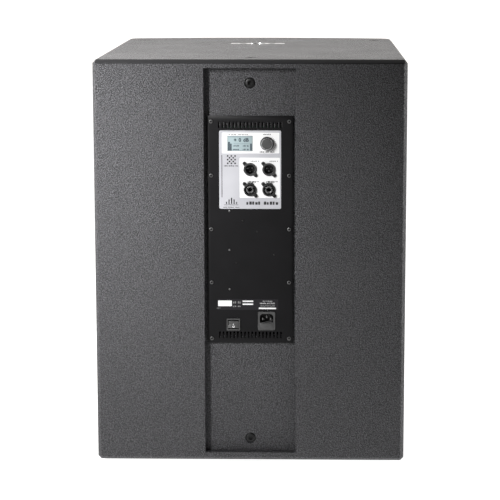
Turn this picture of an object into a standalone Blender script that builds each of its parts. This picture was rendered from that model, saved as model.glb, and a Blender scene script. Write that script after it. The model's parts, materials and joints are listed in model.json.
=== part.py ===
"""Powered sound-reinforcement subwoofer: plywood cabinet, front-loaded driver, rear amplifier.

Metres, +Z up. The origin is the middle of the footprint, on the floor. The grille faces -Y and
the amplifier faces +Y. "Left" is +X, which is also the left of someone looking at the amplifier.
"""

import math

import bmesh
import bpy
from mathutils import Matrix, Vector

# ---- overall size ----
WIDTH = 0.540
DEPTH = 0.660
HEIGHT = 0.717
FOOT_HEIGHT = 0.010
PLY = 0.015
GAP = 0.0003
EDGE_CHAMFER = 0.006

# how far a cutter reaches past the faces it cuts through
CLEAR = 0.010
CLEAR_THROUGH = 0.050

HALF_W = WIDTH / 2
REAR_Y = DEPTH / 2
FRONT_Y = -DEPTH / 2
INNER_W = HALF_W - PLY - GAP
FLOOR_TOP = FOOT_HEIGHT + PLY
CEILING = HEIGHT - PLY
INNER_LOW = FLOOR_TOP + GAP
INNER_HIGH = CEILING - GAP

# ---- bowed front: one wide arc, with a round corner at each end ----
BOW_SAGITTA = 0.030
BOW_RADIUS = (HALF_W**2 + BOW_SAGITTA**2) / (2 * BOW_SAGITTA)
BOW_CENTRE_Y = FRONT_Y + BOW_RADIUS
CORNER_RADIUS = 0.028
CORNER_X = HALF_W - CORNER_RADIUS
CORNER_Y = BOW_CENTRE_Y - math.sqrt((BOW_RADIUS - CORNER_RADIUS) ** 2 - CORNER_X**2)
CORNER_ANGLE = math.atan2(CORNER_X, BOW_CENTRE_Y - CORNER_Y)
SIDE_FRONT_Y = -0.270
GRILLE_INSET = 0.005
GRILLE_THICK = 0.0015
FOAM_THICK = 0.006

# ---- rear channel that holds the amplifier ----
RECESS_DEPTH = 0.014
RECESS_HALF_W = 0.079
RECESS_Y = REAR_Y - RECESS_DEPTH

# ---- amplifier plate, in the rear frame: u to the right, v up, w out of the panel ----
GASKET_THICK = 0.0008
PLATE_THICK = 0.0020
PLATE_FACE_Y = RECESS_Y + 2 * GAP + GASKET_THICK + PLATE_THICK
PLATE_HALF_W = 0.0745
PLATE_LOW = 0.220
PLATE_HIGH = 0.620
CUTOUT_HALF_W = 0.0625
CUTOUT_MARGIN = 0.0125
PLATE_SCREW_U = 0.0676
PLATE_SCREW_V = (0.610, 0.516, 0.422, 0.328, 0.228)
PLATE_SCREW_R = 0.0019
VENT_COUNT = 18
VENT_PITCH = 0.0063
VENT_W = 0.0032
VENT_H = 0.0110
VENT_V = (0.6040, 0.2345)

LABEL_HALF_W = 0.0535
LABEL_LOW = 0.4580
LABEL_HIGH = 0.5945
LABEL_THICK = 0.0004
LABEL_CORNER = 0.002
LABEL_FACE = GAP + LABEL_THICK

LCD_CENTRE = (-0.0174, 0.5720)
LCD_SIZE = (0.0433, 0.0262)
KNOB_CENTRE = (0.0294, 0.5720)
KNOB_SKIRT_R = 0.0120
KNOB_CAP_R = 0.0088
KNOB_HEIGHT = 0.0084
ENCODER_TRAVEL = 0.0008

SOCKET_U = (0.0, 0.0324)
OUTPUT_V = 0.5270
INPUT_V = 0.4914
SOCKET_R = 0.0113
SOCKET_BARREL_R = 0.0098
SOCKET_DEPTH = 0.0235
SOCKET_SIDES = 18
FLANGE_THICK = 0.0022
EAR_OFFSET = Vector((-0.0098, 0.0104))
EAR_R = 0.0032

SWITCH_CENTRE = (-0.0298, 0.2531)
SWITCH_SIZE = (0.0235, 0.0212)
SWITCH_OPENING = (0.0197, 0.0168)
ROCKER_TILT = math.radians(8)

INLET_CENTRE = (0.0283, 0.2596)
INLET_SIZE = (0.0303, 0.0331)
C14_HALF_W = 0.0118
C14_LOW = -0.0030
C14_HIGH = 0.0128
DRAWER_HALF_W = 0.0113
DRAWER_LOW = -0.0139
DRAWER_HIGH = -0.0041
DRAWER_BACK = -0.0183
DRAWER_FACE = 0.0026

# ---- woofer, in its own frame: +Z towards the listener, 0 on the front of the baffle ----
BAFFLE_FACE_Y = -0.262
SHELF_LOW = 0.113
SHELF_HIGH = SHELF_LOW + PLY
SHELF_BACK_Y = 0.100
WOOFER_Z = (SHELF_HIGH + CEILING) / 2
WOOFER_CUTOUT_R = 0.213
FLANGE_R = 0.230
COIL_R = 0.0506
WOOFER_SIDES = 24

# ---- fixings and fittings ----
POLE_Y = -0.128
POLE_BORE_R = 0.0175
POLE_TUBE_R = 0.0200
POLE_DEPTH = 0.085
POLE_WING = 0.0525
BOLT_HEAD_R = 0.0097
BOLT_SHANK_R = 0.0050
BOLT_LENGTH = 0.030
BOLT_SIDES = 14
TOP_BOLTS = ((0.231, -0.231), (-0.231, -0.231), (0.0, 0.274))
REAR_BOLTS_Z = (0.676, 0.047)
FOOT_X = 0.215
FOOT_Y = 0.235
HANDLE_Y = 0.010
HANDLE_Z = 0.430
HANDLE_SIZE = (0.220, 0.116)
HANDLE_CORNER = 0.008
HANDLE_FLANGE = 0.016
HANDLE_FLANGE_THICK = 0.0020
HANDLE_DEPTH = 0.062
HANDLE_WALL = 0.002
GRIP_RADIUS = 0.0125
GRIP_RISE = 0.030
GRIP_SINK = 0.0175
BRACE_Y = 0.140
BRACE_WINDOW = (0.400, 0.560)
BRACE_WINDOW_Z = 0.365
BRACE_WINDOW_CORNER = 0.040
CHASSIS_FRONT_Y = 0.180
BOARD_THICK = 0.0016
AMP_BOARD_W = -0.1075
POWER_BOARD_W = -0.0600
CONTROL_BOARD_W = -0.0260
CABLE_R = 0.003
CABLE_POINTS = 30

# ---- colour (linear RGB), roughness, metallic ----
FINISHES = {
    "cabinet_paint": ((0.045, 0.045, 0.049), 0.65, 0.0),
    "bare_plywood": ((0.45, 0.31, 0.17), 0.70, 0.0),
    "grille_steel": ((0.020, 0.020, 0.022), 0.50, 0.0),
    "black_foam": ((0.012, 0.012, 0.012), 0.95, 0.0),
    "black_rubber": ((0.018, 0.018, 0.018), 0.80, 0.0),
    "zinc_steel": ((0.62, 0.62, 0.60), 0.35, 1.0),
    "black_steel": ((0.020, 0.020, 0.022), 0.45, 0.0),
    "plate_black": ((0.014, 0.013, 0.016), 0.55, 0.0),
    "label_silver": ((0.72, 0.72, 0.75), 0.45, 0.0),
    "black_plastic": ((0.016, 0.016, 0.018), 0.40, 0.0),
    "grey_plastic": ((0.085, 0.085, 0.092), 0.45, 0.0),
    "clear_plastic": ((0.55, 0.68, 0.72), 0.10, 0.0),
    "cone_paper": ((0.020, 0.020, 0.021), 0.85, 0.0),
    "spider_cloth": ((0.55, 0.42, 0.14), 0.90, 0.0),
    "copper_wire": ((0.55, 0.22, 0.10), 0.35, 1.0),
    "ferrite": ((0.035, 0.034, 0.034), 0.60, 0.0),
    "cast_alloy": ((0.035, 0.035, 0.037), 0.55, 0.0),
    "aluminium": ((0.60, 0.61, 0.62), 0.35, 1.0),
    "circuit_board": ((0.012, 0.080, 0.035), 0.50, 0.0),
    "fuse_glass": ((0.75, 0.78, 0.78), 0.05, 0.0),
}


# ======== small tools ========


def clear_scene():
    for obj in list(bpy.data.objects):
        bpy.data.objects.remove(obj)


def finish_material(name):
    material = bpy.data.materials.get(name)
    if material:
        return material
    colour, roughness, metallic = FINISHES[name]
    material = bpy.data.materials.new(name)
    material.use_nodes = True
    shader = material.node_tree.nodes["Principled BSDF"]
    shader.inputs["Base Color"].default_value = (*colour, 1.0)
    shader.inputs["Roughness"].default_value = roughness
    shader.inputs["Metallic"].default_value = metallic
    return material


def frame_empty(name, location, rotation=(0, 0, 0)):
    empty = bpy.data.objects.new(name, None)
    empty.location = location
    empty.rotation_euler = rotation
    bpy.context.collection.objects.link(empty)
    return empty


def object_from(name, bm, parent=None, location=(0, 0, 0)):
    """A linked object whose mesh is bm, with its faces pointing out and its round sides smooth."""
    bmesh.ops.remove_doubles(bm, verts=bm.verts, dist=1e-6)
    bmesh.ops.recalc_face_normals(bm, faces=bm.faces)
    mesh = bpy.data.meshes.new(name)
    bm.to_mesh(mesh)
    bm.free()
    mesh.shade_smooth()
    mesh.set_sharp_from_angle(angle=math.radians(35))
    obj = bpy.data.objects.new(name, mesh)
    obj.parent = parent
    obj.location = location
    bpy.context.collection.objects.link(obj)
    return obj


def piece(name, bm, finish, parent=None, location=(0, 0, 0)):
    obj = object_from(name, bm, parent, location)
    obj.data.materials.append(finish_material(finish))
    return obj


def combine(target, other, operation):
    """Keeps a Boolean of other on target, and turns other into a hidden cutter."""
    other.hide_render = True
    other.display_type = "WIRE"
    modifier = target.modifiers.new(other.name, "BOOLEAN")
    modifier.operation = operation
    modifier.object = other
    return target


def cut(target, name, bm, parent=None, location=(0, 0, 0)):
    return combine(target, object_from(name, bm, parent, location), "DIFFERENCE")


def add(target, name, bm, parent=None, location=(0, 0, 0)):
    return combine(target, object_from(name, bm, parent, location), "UNION")


def extend_box(bm, low, high):
    """Adds a box between two corners to bm."""
    low = Vector(low)
    high = Vector(high)
    size = Matrix.Diagonal((*(high - low), 1))
    bmesh.ops.create_cube(bm, size=1, matrix=Matrix.Translation((low + high) / 2) @ size)
    return bm


def box(low, high):
    return extend_box(bmesh.new(), low, high)


def extend_rod(bm, centre, radius, low, high, segments=24, radius_high=None):
    """Adds a cylinder or a cone along Z to bm, between the heights low and high."""
    bmesh.ops.create_cone(
        bm,
        cap_ends=True,
        segments=segments,
        radius1=radius,
        radius2=radius if radius_high is None else radius_high,
        depth=high - low,
        matrix=Matrix.Translation((centre[0], centre[1], (low + high) / 2)),
    )
    return bm


def rod(centre, radius, low, high, segments=24, radius_high=None):
    return extend_rod(bmesh.new(), centre, radius, low, high, segments, radius_high)


def extrude_outline(outline, low, high):
    """A prism along Z over a closed outline of (x, y) points."""
    bm = bmesh.new()
    base = bm.faces.new([bm.verts.new((x, y, low)) for x, y in outline])
    top = bmesh.ops.extrude_face_region(bm, geom=[base])["geom"]
    moved = [item for item in top if isinstance(item, bmesh.types.BMVert)]
    bmesh.ops.translate(bm, verts=moved, vec=(0, 0, high - low))
    return bm


def turn(profile, segments, closed=True):
    """Spins (radius, height) points about Z. An open profile starts and ends on the axis."""
    bm = bmesh.new()
    verts = [bm.verts.new((r, 0, h)) for r, h in profile]
    pairs = list(zip(verts, verts[1:]))
    if closed:
        pairs.append((verts[-1], verts[0]))
    edges = [bm.edges.new(pair) for pair in pairs]
    bmesh.ops.spin(
        bm,
        geom=verts + edges,
        cent=(0, 0, 0),
        axis=(0, 0, 1),
        angle=math.tau,
        steps=segments,
        use_merge=True,
    )
    return bm


def arc(centre, radius, start, end, steps):
    """Points on a circle, from one angle to another, both ends included."""
    angles = [start + (end - start) * i / steps for i in range(steps + 1)]
    return [(centre[0] + radius * math.cos(a), centre[1] + radius * math.sin(a)) for a in angles]


def rounded_rectangle(centre, size, radius, steps=3):
    half_w = size[0] / 2 - radius
    half_h = size[1] / 2 - radius
    points = []
    for quarter, (sx, sy) in enumerate(((1, 1), (-1, 1), (-1, -1), (1, -1))):
        corner = (centre[0] + sx * half_w, centre[1] + sy * half_h)
        start = quarter * math.pi / 2
        points += arc(corner, radius, start, start + math.pi / 2, steps)
    return points


def chamfer(bm, width, chosen):
    """Bevels the edges whose middle passes the test chosen."""
    edges = [e for e in bm.edges if chosen((e.verts[0].co + e.verts[1].co) / 2)]
    bmesh.ops.bevel(bm, geom=edges, offset=width, segments=1, affect="EDGES", profile=0.5)
    return bm


# ======== cabinet ========


def front_curve(inset, end_y):
    """The bowed front from its left end to its right end, inset inside the panels' outline."""
    bow = math.pi / 2 - CORNER_ANGLE
    left = arc((CORNER_X, CORNER_Y), CORNER_RADIUS - inset, 0, -bow, 4)
    front = arc((0, BOW_CENTRE_Y), BOW_RADIUS - inset, -bow, bow - math.pi, 12)
    right = arc((-CORNER_X, CORNER_Y), CORNER_RADIUS - inset, bow - math.pi, -math.pi, 4)
    ends = ((HALF_W - inset, end_y), (inset - HALF_W, end_y))
    return [ends[0], *left, *front[1:-1], *right, ends[1]]


def horizontal_panel(name, low, outer_z):
    """Top or bottom panel: the bowed outline, chamfered round its outer face."""
    bm = extrude_outline(front_curve(0, REAR_Y), low, low + PLY)
    chamfer(bm, EDGE_CHAMFER, lambda p: abs(p.z - outer_z) < 1e-6)
    return piece(name, bm, "cabinet_paint")


def side_panel(name, side):
    """Side panel with a pocket for the handle's flange and a hole for its cup."""
    outer = side * HALF_W
    inner = side * (HALF_W - PLY)
    low = (min(inner, outer), SIDE_FRONT_Y, INNER_LOW)
    high = (max(inner, outer), REAR_Y, INNER_HIGH)
    bm = chamfer(
        box(low, high),
        EDGE_CHAMFER,
        lambda p: abs(p.x - outer) < 1e-6 and abs(p.y - REAR_Y) < 1e-6,
    )
    panel = piece(name, bm, "cabinet_paint")
    steps = (
        (handle_flange_size(), HANDLE_FLANGE, HANDLE_FLANGE_THICK + GAP, CLEAR),
        (HANDLE_SIZE, HANDLE_CORNER, 2 * PLY, 2 * CLEAR),
    )
    for number, (size, radius, depth, clear) in enumerate(steps):
        grown = (size[0] + 2 * GAP, size[1] + 2 * GAP)
        outline = rounded_rectangle((0, 0), grown, radius + GAP)
        cut(
            panel,
            f"{name}_pocket_{number}",
            extrude_outline(outline, -depth, clear),
            side_frame(f"{name}_pocket_frame_{number}", side),
        )
    return panel


def handle_flange_size():
    return (HANDLE_SIZE[0] + 2 * HANDLE_FLANGE, HANDLE_SIZE[1] + 2 * HANDLE_FLANGE)


def side_frame(name, side):
    """Frame on a cabinet side at the handle: +X to the rear or front, +Y up, +Z out."""
    rotation = (math.pi / 2, 0, side * math.pi / 2)
    return frame_empty(name, (side * HALF_W, HANDLE_Y, HANDLE_Z), rotation)


def rear_panel():
    bm = box((-INNER_W, RECESS_Y - PLY, INNER_LOW), (INNER_W, RECESS_Y, INNER_HIGH))
    panel = piece("rear_panel", bm, "cabinet_paint")
    low = (-CUTOUT_HALF_W, RECESS_Y - 2 * PLY, PLATE_LOW + CUTOUT_MARGIN)
    high = (CUTOUT_HALF_W, REAR_Y, PLATE_HIGH - CUTOUT_MARGIN)
    cut(panel, "rear_panel_cutout", box(low, high))
    for number, z in enumerate(REAR_BOLTS_Z):
        frame = frame_empty(f"rear_bolt_hole_{number}", (0, RECESS_Y, z), (-math.pi / 2, 0, 0))
        cut(panel, f"rear_bolt_cutter_{number}", bolt_hole(), frame)
    return panel


def rear_board(name, side):
    edges = (side * RECESS_HALF_W, side * INNER_W)
    low = (min(edges), RECESS_Y + GAP, INNER_LOW)
    high = (max(edges), REAR_Y, INNER_HIGH)
    return piece(name, box(low, high), "cabinet_paint")


def front_baffle():
    low = (-INNER_W, BAFFLE_FACE_Y, SHELF_HIGH + GAP)
    high = (INNER_W, BAFFLE_FACE_Y + PLY, INNER_HIGH)
    baffle = piece("front_baffle", box(low, high), "cabinet_paint")
    frame = woofer_frame("woofer_cutout_frame")
    opening = rod((0, 0), WOOFER_CUTOUT_R, -CLEAR_THROUGH, CLEAR_THROUGH, WOOFER_SIDES)
    return cut(baffle, "woofer_cutout", opening, frame)


def port_shelf():
    """Board that forms the roof of the slot port."""
    shelf = box((-INNER_W, BAFFLE_FACE_Y, SHELF_LOW), (INNER_W, SHELF_BACK_Y, SHELF_HIGH))
    piece("port_shelf", shelf, "bare_plywood")


def window_brace():
    bm = box((-INNER_W, BRACE_Y, INNER_LOW), (INNER_W, BRACE_Y + PLY, INNER_HIGH))
    brace = piece("window_brace", bm, "bare_plywood")
    frame = frame_empty("brace_window_frame", (0, BRACE_Y, BRACE_WINDOW_Z), (math.pi / 2, 0, 0))
    outline = rounded_rectangle((0, 0), BRACE_WINDOW, BRACE_WINDOW_CORNER)
    window = extrude_outline(outline, -CLEAR_THROUGH, CLEAR_THROUGH)
    return cut(brace, "brace_window", window, frame)


def curved_sheet(name, inset, thickness, finish):
    """A thin upright sheet that follows the bowed front."""
    end_y = SIDE_FRONT_Y - GAP
    outer = front_curve(inset, end_y)
    inner = front_curve(inset + thickness, end_y)
    bm = extrude_outline(outer + inner[::-1], INNER_LOW, INNER_HIGH)
    return piece(name, bm, finish)


# ======== feet, handles, pole mount and bolts ========


def foot(name, x, y):
    """Moulded foot: a tapered pad with a hollow for its screw."""
    top = FOOT_HEIGHT - GAP
    profile = [(0.0, top), (0.0200, top), (0.0180, 0.0012), (0.0168, 0.0)]
    profile += [(0.0070, 0.0), (0.0060, 0.0045), (0.0, 0.0045)]
    return piece(name, turn(profile, 18, closed=False), "black_rubber", location=(x, y, 0))


def handle(name, side):
    """Recessed side handle: a flange, a cup and a grip bar across its upper half."""
    frame = side_frame(f"{name}_frame", side)
    outline = rounded_rectangle((0, 0), handle_flange_size(), HANDLE_FLANGE)
    grip = piece(name, extrude_outline(outline, -HANDLE_FLANGE_THICK, 0), "black_steel", frame)
    outline = rounded_rectangle((0, 0), HANDLE_SIZE, HANDLE_CORNER)
    cup = extrude_outline(outline, -HANDLE_DEPTH, -HANDLE_FLANGE_THICK / 2)
    add(grip, f"{name}_cup", cup, frame)
    hollow = (HANDLE_SIZE[0] - 2 * HANDLE_WALL, HANDLE_SIZE[1] - 2 * HANDLE_WALL)
    outline = rounded_rectangle((0, 0), hollow, HANDLE_CORNER - HANDLE_WALL)
    cut(grip, f"{name}_hollow", extrude_outline(outline, HANDLE_WALL - HANDLE_DEPTH, CLEAR), frame)
    half = (HANDLE_SIZE[0] - HANDLE_WALL) / 2
    bar = rod((0, 0), GRIP_RADIUS, -half, half, 12)
    bmesh.ops.transform(bar, matrix=Matrix.Rotation(math.pi / 2, 4, "Y"), verts=bar.verts)
    return add(grip, f"{name}_bar", bar, frame, (0, GRIP_RISE, -GRIP_SINK))


def pole_mount_outline(grow=0.0):
    """Round hub with two square-ended wings, as seen from above."""
    hub = 0.0300 + grow
    wing_half = 0.0190 + grow
    lean = math.asin(wing_half / hub)
    tip = POLE_WING + grow
    right = [(tip, -wing_half), (tip, wing_half)]
    left = [(-tip, wing_half), (-tip, -wing_half)]
    over = arc((0, 0), hub, lean, math.pi - lean, 8)
    under = arc((0, 0), hub, math.pi + lean, math.tau - lean, 8)
    return right + over + left + under


def pole_mount():
    """Steel pole socket let into the top: flange, tube and a blind 35 mm bore."""
    location = (0, POLE_Y, HEIGHT)
    flange = extrude_outline(pole_mount_outline(), -0.0030, -0.0003)
    mount = piece("pole_mount", flange, "zinc_steel", location=location)
    add(mount, "pole_tube", rod((0, 0), POLE_TUBE_R, -POLE_DEPTH, -0.0015, 24), location=location)
    bore = rod((0, 0), POLE_BORE_R, 0.003 - POLE_DEPTH, 0.01, 24)
    cut(mount, "pole_bore", bore, location=location)
    screws = bmesh.new()
    for u in (-0.041, 0.041):
        extend_rod(screws, (u, 0), 0.0028, -0.01, 0.01, 10)
    return cut(mount, "pole_mount_screw_holes", screws, location=location)


def bolt_mesh():
    """Countersunk bolt with a hexagonal socket, head flush at z = 0, shank down."""
    cone_depth = BOLT_HEAD_R - BOLT_SHANK_R
    profile = [(0.0, 0.0), (BOLT_HEAD_R, 0.0), (BOLT_HEAD_R, -0.0008)]
    profile += [(BOLT_SHANK_R, -0.0008 - cone_depth), (BOLT_SHANK_R, -BOLT_LENGTH)]
    profile += [(0.0, -BOLT_LENGTH)]
    bolt = object_from("bolt_blank", turn(profile, BOLT_SIDES, closed=False))
    cut(bolt, "hex_socket", rod((0, 0), 0.0040, -0.0045, 0.01, 6))
    depsgraph = bpy.context.evaluated_depsgraph_get()
    mesh = bpy.data.meshes.new_from_object(bolt.evaluated_get(depsgraph))
    mesh.name = "countersunk_bolt"
    mesh.materials.append(finish_material("black_steel"))
    for used in (bolt, bpy.data.objects["hex_socket"]):
        bpy.data.objects.remove(used)
    return mesh


def bolt_hole():
    """Cutter for one countersunk bolt, a gap wider than the bolt all round."""
    cone_depth = BOLT_HEAD_R - BOLT_SHANK_R
    head = BOLT_HEAD_R + 1.5 * GAP
    shank = BOLT_SHANK_R + 1.5 * GAP
    profile = [(0.0, 0.01), (head, 0.01), (head, -0.0008), (shank, -0.0008 - cone_depth)]
    profile += [(shank, -BOLT_LENGTH - 0.01), (0.0, -BOLT_LENGTH - 0.01)]
    return turn(profile, BOLT_SIDES, closed=False)


def bolts(top_panel):
    mesh = bolt_mesh()
    rear_places = [(0, RECESS_Y, z) for z in REAR_BOLTS_Z]
    for number, place in enumerate(rear_places, 1):
        bolt = bpy.data.objects.new(f"rear_rigging_bolt_{number}", mesh)
        bolt.location = place
        bolt.rotation_euler = (-math.pi / 2, 0, 0)
        bpy.context.collection.objects.link(bolt)
    for number, (x, y) in enumerate(TOP_BOLTS, 1):
        bolt = bpy.data.objects.new(f"top_rigging_bolt_{number}", mesh)
        bolt.location = (x, y, HEIGHT)
        bpy.context.collection.objects.link(bolt)
        cut(top_panel, f"top_bolt_cutter_{number}", bolt_hole(), location=(x, y, HEIGHT))


# ======== woofer ========


def woofer_frame(name):
    return frame_empty(name, (0, BAFFLE_FACE_Y, WOOFER_Z), (math.pi / 2, 0, 0))


def woofer_basket(frame):
    """Cast basket: mounting flange, windowed cone wall, spider seat and motor seat."""
    profile = [
        (FLANGE_R, 0.0023), (FLANGE_R, 0.0063), (0.1990, 0.0063), (0.1990, -0.0040),
        (0.1120, -0.1040), (0.1040, -0.1040), (0.1040, -0.1060), (0.0920, -0.1060),
        (0.0920, -0.1160), (0.0600, -0.1160), (0.0600, -0.1270), (0.1120, -0.1270),
        (0.2090, -0.0070), (0.2090, 0.0023),
    ]  # fmt: skip
    basket = piece("woofer_basket", turn(profile, WOOFER_SIDES), "cast_alloy", frame)
    windows = bmesh.new()
    for number in range(6):
        window = extend_box(bmesh.new(), (0.118, -0.046, -0.0920), (0.260, 0.046, -0.0220))
        mesh = bpy.data.meshes.new("window")
        spin = Matrix.Rotation(number * math.tau / 6, 4, "Z")
        bmesh.ops.transform(window, matrix=spin, verts=window.verts)
        window.to_mesh(mesh)
        window.free()
        windows.from_mesh(mesh)
    return cut(basket, "basket_windows", windows, frame)


def roll_points(inner, outer, height, steps):
    """A half-round roll between two radii, rising to height."""
    middle = (inner + outer) / 2
    half = (outer - inner) / 2
    angles = [math.pi * i / steps for i in range(steps + 1)]
    return [(middle - half * math.cos(a), height * math.sin(a)) for a in angles]


def woofer_surround(frame):
    """Rubber half-roll from the cone's rim to the basket's flange."""
    seat = 0.0066
    skin = 0.0012
    rise = [(r, seat + skin + h) for r, h in roll_points(0.1805, 0.1970, 0.0090, 4)]
    fall = [(r, seat + h) for r, h in roll_points(0.1817, 0.1958, 0.0078, 4)]
    profile = [(0.1720, seat), (0.1720, seat + skin), *rise, (0.2050, seat + skin), (0.2050, seat)]
    return piece("woofer_surround", turn(profile + fall[::-1], WOOFER_SIDES), "black_rubber", frame)


def woofer_moving_parts(frame):
    """Cone, dust cap and voice coil, which travel together, and the spider that centres them."""
    cone = [
        (0.1790, 0.0046), (0.1790, 0.0063), (0.1700, 0.0063), (0.0520, -0.0836),
        (0.0520, -0.0860), (0.0540, -0.0860), (0.1710, 0.0046),
    ]  # fmt: skip
    piece("woofer_cone", turn(cone, WOOFER_SIDES), "cone_paper", frame)
    bow = 0.1500
    angle = math.asin(0.0740 / bow)
    base = -0.0625 - bow * math.cos(angle)
    dome = [(r, h + base) for h, r in arc((0, 0), bow, 0, angle, 3)]
    under = [(max(r - 0.0008, 0.0), h - 0.0016) for r, h in dome]
    piece("woofer_dust_cap", turn(dome + under[::-1], WOOFER_SIDES, closed=False), "cone_paper", frame)
    coil = [
        (COIL_R - 0.0009, -0.1463), (COIL_R + 0.0009, -0.1463),
        (COIL_R + 0.0009, -0.0800), (COIL_R - 0.0009, -0.0800),
    ]  # fmt: skip
    piece("woofer_voice_coil", turn(coil, WOOFER_SIDES), "copper_wire", frame)
    steps = 4
    width = 0.1030 - 0.0520
    wave = [
        (0.0520 + width * i / steps, -0.1042 + (0.0025 if i % 2 else 0.0)) for i in range(steps + 1)
    ]
    lower = [(r, h - 0.0014) for r, h in wave[::-1]]
    piece("woofer_spider", turn(wave + lower, WOOFER_SIDES), "spider_cloth", frame)


def woofer_motor(frame):
    """Front plate, ring magnet and back plate with its pole piece."""
    front = [(0.0525, -0.1273), (0.1000, -0.1273), (0.1000, -0.1393), (0.0525, -0.1393)]
    piece("woofer_top_plate", turn(front, WOOFER_SIDES), "zinc_steel", frame)
    ring = [(0.0580, -0.1396), (0.1100, -0.1396), (0.1100, -0.1646), (0.0580, -0.1646)]
    piece("woofer_magnet", turn(ring, WOOFER_SIDES), "ferrite", frame)
    pole = [
        (0.0150, -0.1290), (0.0488, -0.1290), (0.0488, -0.1649), (0.1000, -0.1649),
        (0.1000, -0.1749), (0.0150, -0.1749),
    ]  # fmt: skip
    piece("woofer_back_plate", turn(pole, WOOFER_SIDES), "zinc_steel", frame)


def woofer():
    frame = woofer_frame("woofer_axis")
    seal = [(0.2140, GAP), (FLANGE_R, GAP), (FLANGE_R, 0.0020), (0.2140, 0.0020)]
    piece("woofer_gasket", turn(seal, WOOFER_SIDES), "black_foam", frame)
    woofer_basket(frame)
    woofer_surround(frame)
    woofer_moving_parts(frame)
    woofer_motor(frame)
    block = box((-0.015, -0.1180, -0.1390), (0.015, -0.1020, -0.1273))
    piece("woofer_terminal", block, "black_plastic", frame)


def speaker_cable():
    """Lead from the amplifier's case to the woofer's terminal, along a Catmull-Rom curve."""
    terminal_y = BAFFLE_FACE_Y + 0.1390 + GAP
    terminal_z = WOOFER_Z - 0.1148
    route = [
        (0, CHASSIS_FRONT_Y - GAP, 0.330), (0, 0.155, 0.330), (0, 0.115, 0.315),
        (0, 0.060, 0.278), (0, 0.000, 0.262), (0, -0.040, 0.268),
        (0, -0.078, terminal_z - 0.008), (0, -0.100, terminal_z - 0.001),
        (0, terminal_y, terminal_z),
    ]  # fmt: skip
    knots = len(route) - 1
    points = []
    for i in range(CABLE_POINTS):
        t = knots * i / (CABLE_POINTS - 1)
        k = min(int(t), knots - 1)
        p = [Vector(route[max(0, min(knots, k + j))]) for j in (-1, 0, 1, 2)]
        s = t - k
        slope = (p[2] - p[0]) * s
        bend = (2 * p[0] - 5 * p[1] + 4 * p[2] - p[3]) * s**2
        twist = (3 * p[1] - p[0] - 3 * p[2] + p[3]) * s**3
        points.append((2 * p[1] + slope + bend + twist) / 2)
    curve = bpy.data.curves.new("speaker_cable", "CURVE")
    curve.dimensions = "3D"
    curve.bevel_depth = CABLE_R
    curve.bevel_resolution = 2
    curve.use_fill_caps = True
    spline = curve.splines.new("POLY")
    spline.points.add(len(points) - 1)
    for target, point in zip(spline.points, points):
        target.co = (*point, 1)
    curve.materials.append(finish_material("black_rubber"))
    cable = bpy.data.objects.new("speaker_cable", curve)
    bpy.context.collection.objects.link(cable)


# ======== amplifier: plate, label and controls ========


def socket_places():
    """Name, u and v of each signal socket."""
    for number, u in enumerate(SOCKET_U, 1):
        yield f"xlr_output_{number}", u, OUTPUT_V
        yield f"combo_input_{number}", u, INPUT_V


def panel_openings(bm, clearance, low, high):
    """Adds to bm the holes that the plate and the label share."""
    half = Vector((LCD_SIZE[0] / 2 + clearance, LCD_SIZE[1] / 2 + clearance))
    centre = Vector(LCD_CENTRE)
    extend_box(bm, (*(centre - half), low), (*(centre + half), high))
    extend_rod(bm, KNOB_CENTRE, 0.0035 + clearance, low, high, 16)
    for _, u, v in socket_places():
        extend_rod(bm, (u, v), SOCKET_BARREL_R + clearance, low, high, SOCKET_SIDES)
    return bm


def amp_plate(frame):
    bm = box((-PLATE_HALF_W, PLATE_LOW, -PLATE_THICK), (PLATE_HALF_W, PLATE_HIGH, 0))
    plate = piece("amp_plate", bm, "plate_black", frame)
    low = -0.01
    high = 0.01
    holes = panel_openings(bmesh.new(), GAP, low, high)
    for v in PLATE_SCREW_V:
        for u in (-PLATE_SCREW_U, PLATE_SCREW_U):
            extend_rod(holes, (u, v), PLATE_SCREW_R, low, high, 8)
    for v in VENT_V:
        for number in range(VENT_COUNT):
            u = (number - (VENT_COUNT - 1) / 2) * VENT_PITCH
            corner = (u - VENT_W / 2, v - VENT_H / 2, low)
            extend_box(holes, corner, (u + VENT_W / 2, v + VENT_H / 2, high))
    for centre, half_w, half_h in ((SWITCH_CENTRE, 0.0108, 0.0094), (INLET_CENTRE, 0.0138, 0.0150)):
        corner = (centre[0] - half_w, centre[1] - half_h, low)
        extend_box(holes, corner, (centre[0] + half_w, centre[1] + half_h, high))
    return cut(plate, "amp_plate_holes", holes, frame)


def plate_gasket(frame):
    back = -PLATE_THICK - GAP - GASKET_THICK
    size = (2 * PLATE_HALF_W - 0.002, PLATE_HIGH - PLATE_LOW - 0.002)
    centre = (0, (PLATE_LOW + PLATE_HIGH) / 2)
    outline = rounded_rectangle(centre, size, 0.003, 2)
    gasket = piece(
        "plate_gasket", extrude_outline(outline, back, back + GASKET_THICK), "black_foam", frame
    )
    opening = rounded_rectangle(centre, (2 * 0.0645, size[1] - 0.017), 0.003, 2)
    return cut(gasket, "gasket_opening", extrude_outline(opening, back - 0.01, 0), frame)


def label_panel(frame):
    centre = (0, (LABEL_LOW + LABEL_HIGH) / 2)
    size = (2 * LABEL_HALF_W, LABEL_HIGH - LABEL_LOW)
    outline = rounded_rectangle(centre, size, LABEL_CORNER)
    label = piece("label_panel", extrude_outline(outline, GAP, LABEL_FACE), "label_silver", frame)
    return cut(label, "label_holes", panel_openings(bmesh.new(), GAP, -0.01, 0.01), frame)


def display(frame):
    half = Vector(LCD_SIZE) / 2
    centre = Vector(LCD_CENTRE)
    low = (*(centre - half), -0.0030)
    piece("lcd_window", box(low, (*(centre + half), LABEL_FACE)), "clear_plastic", frame)
    half = Vector((0.0280, 0.0185))
    module = box((*(centre - half), -0.0120), (*(centre + half), -0.0034))
    piece("lcd_module", module, "circuit_board", frame)


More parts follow.
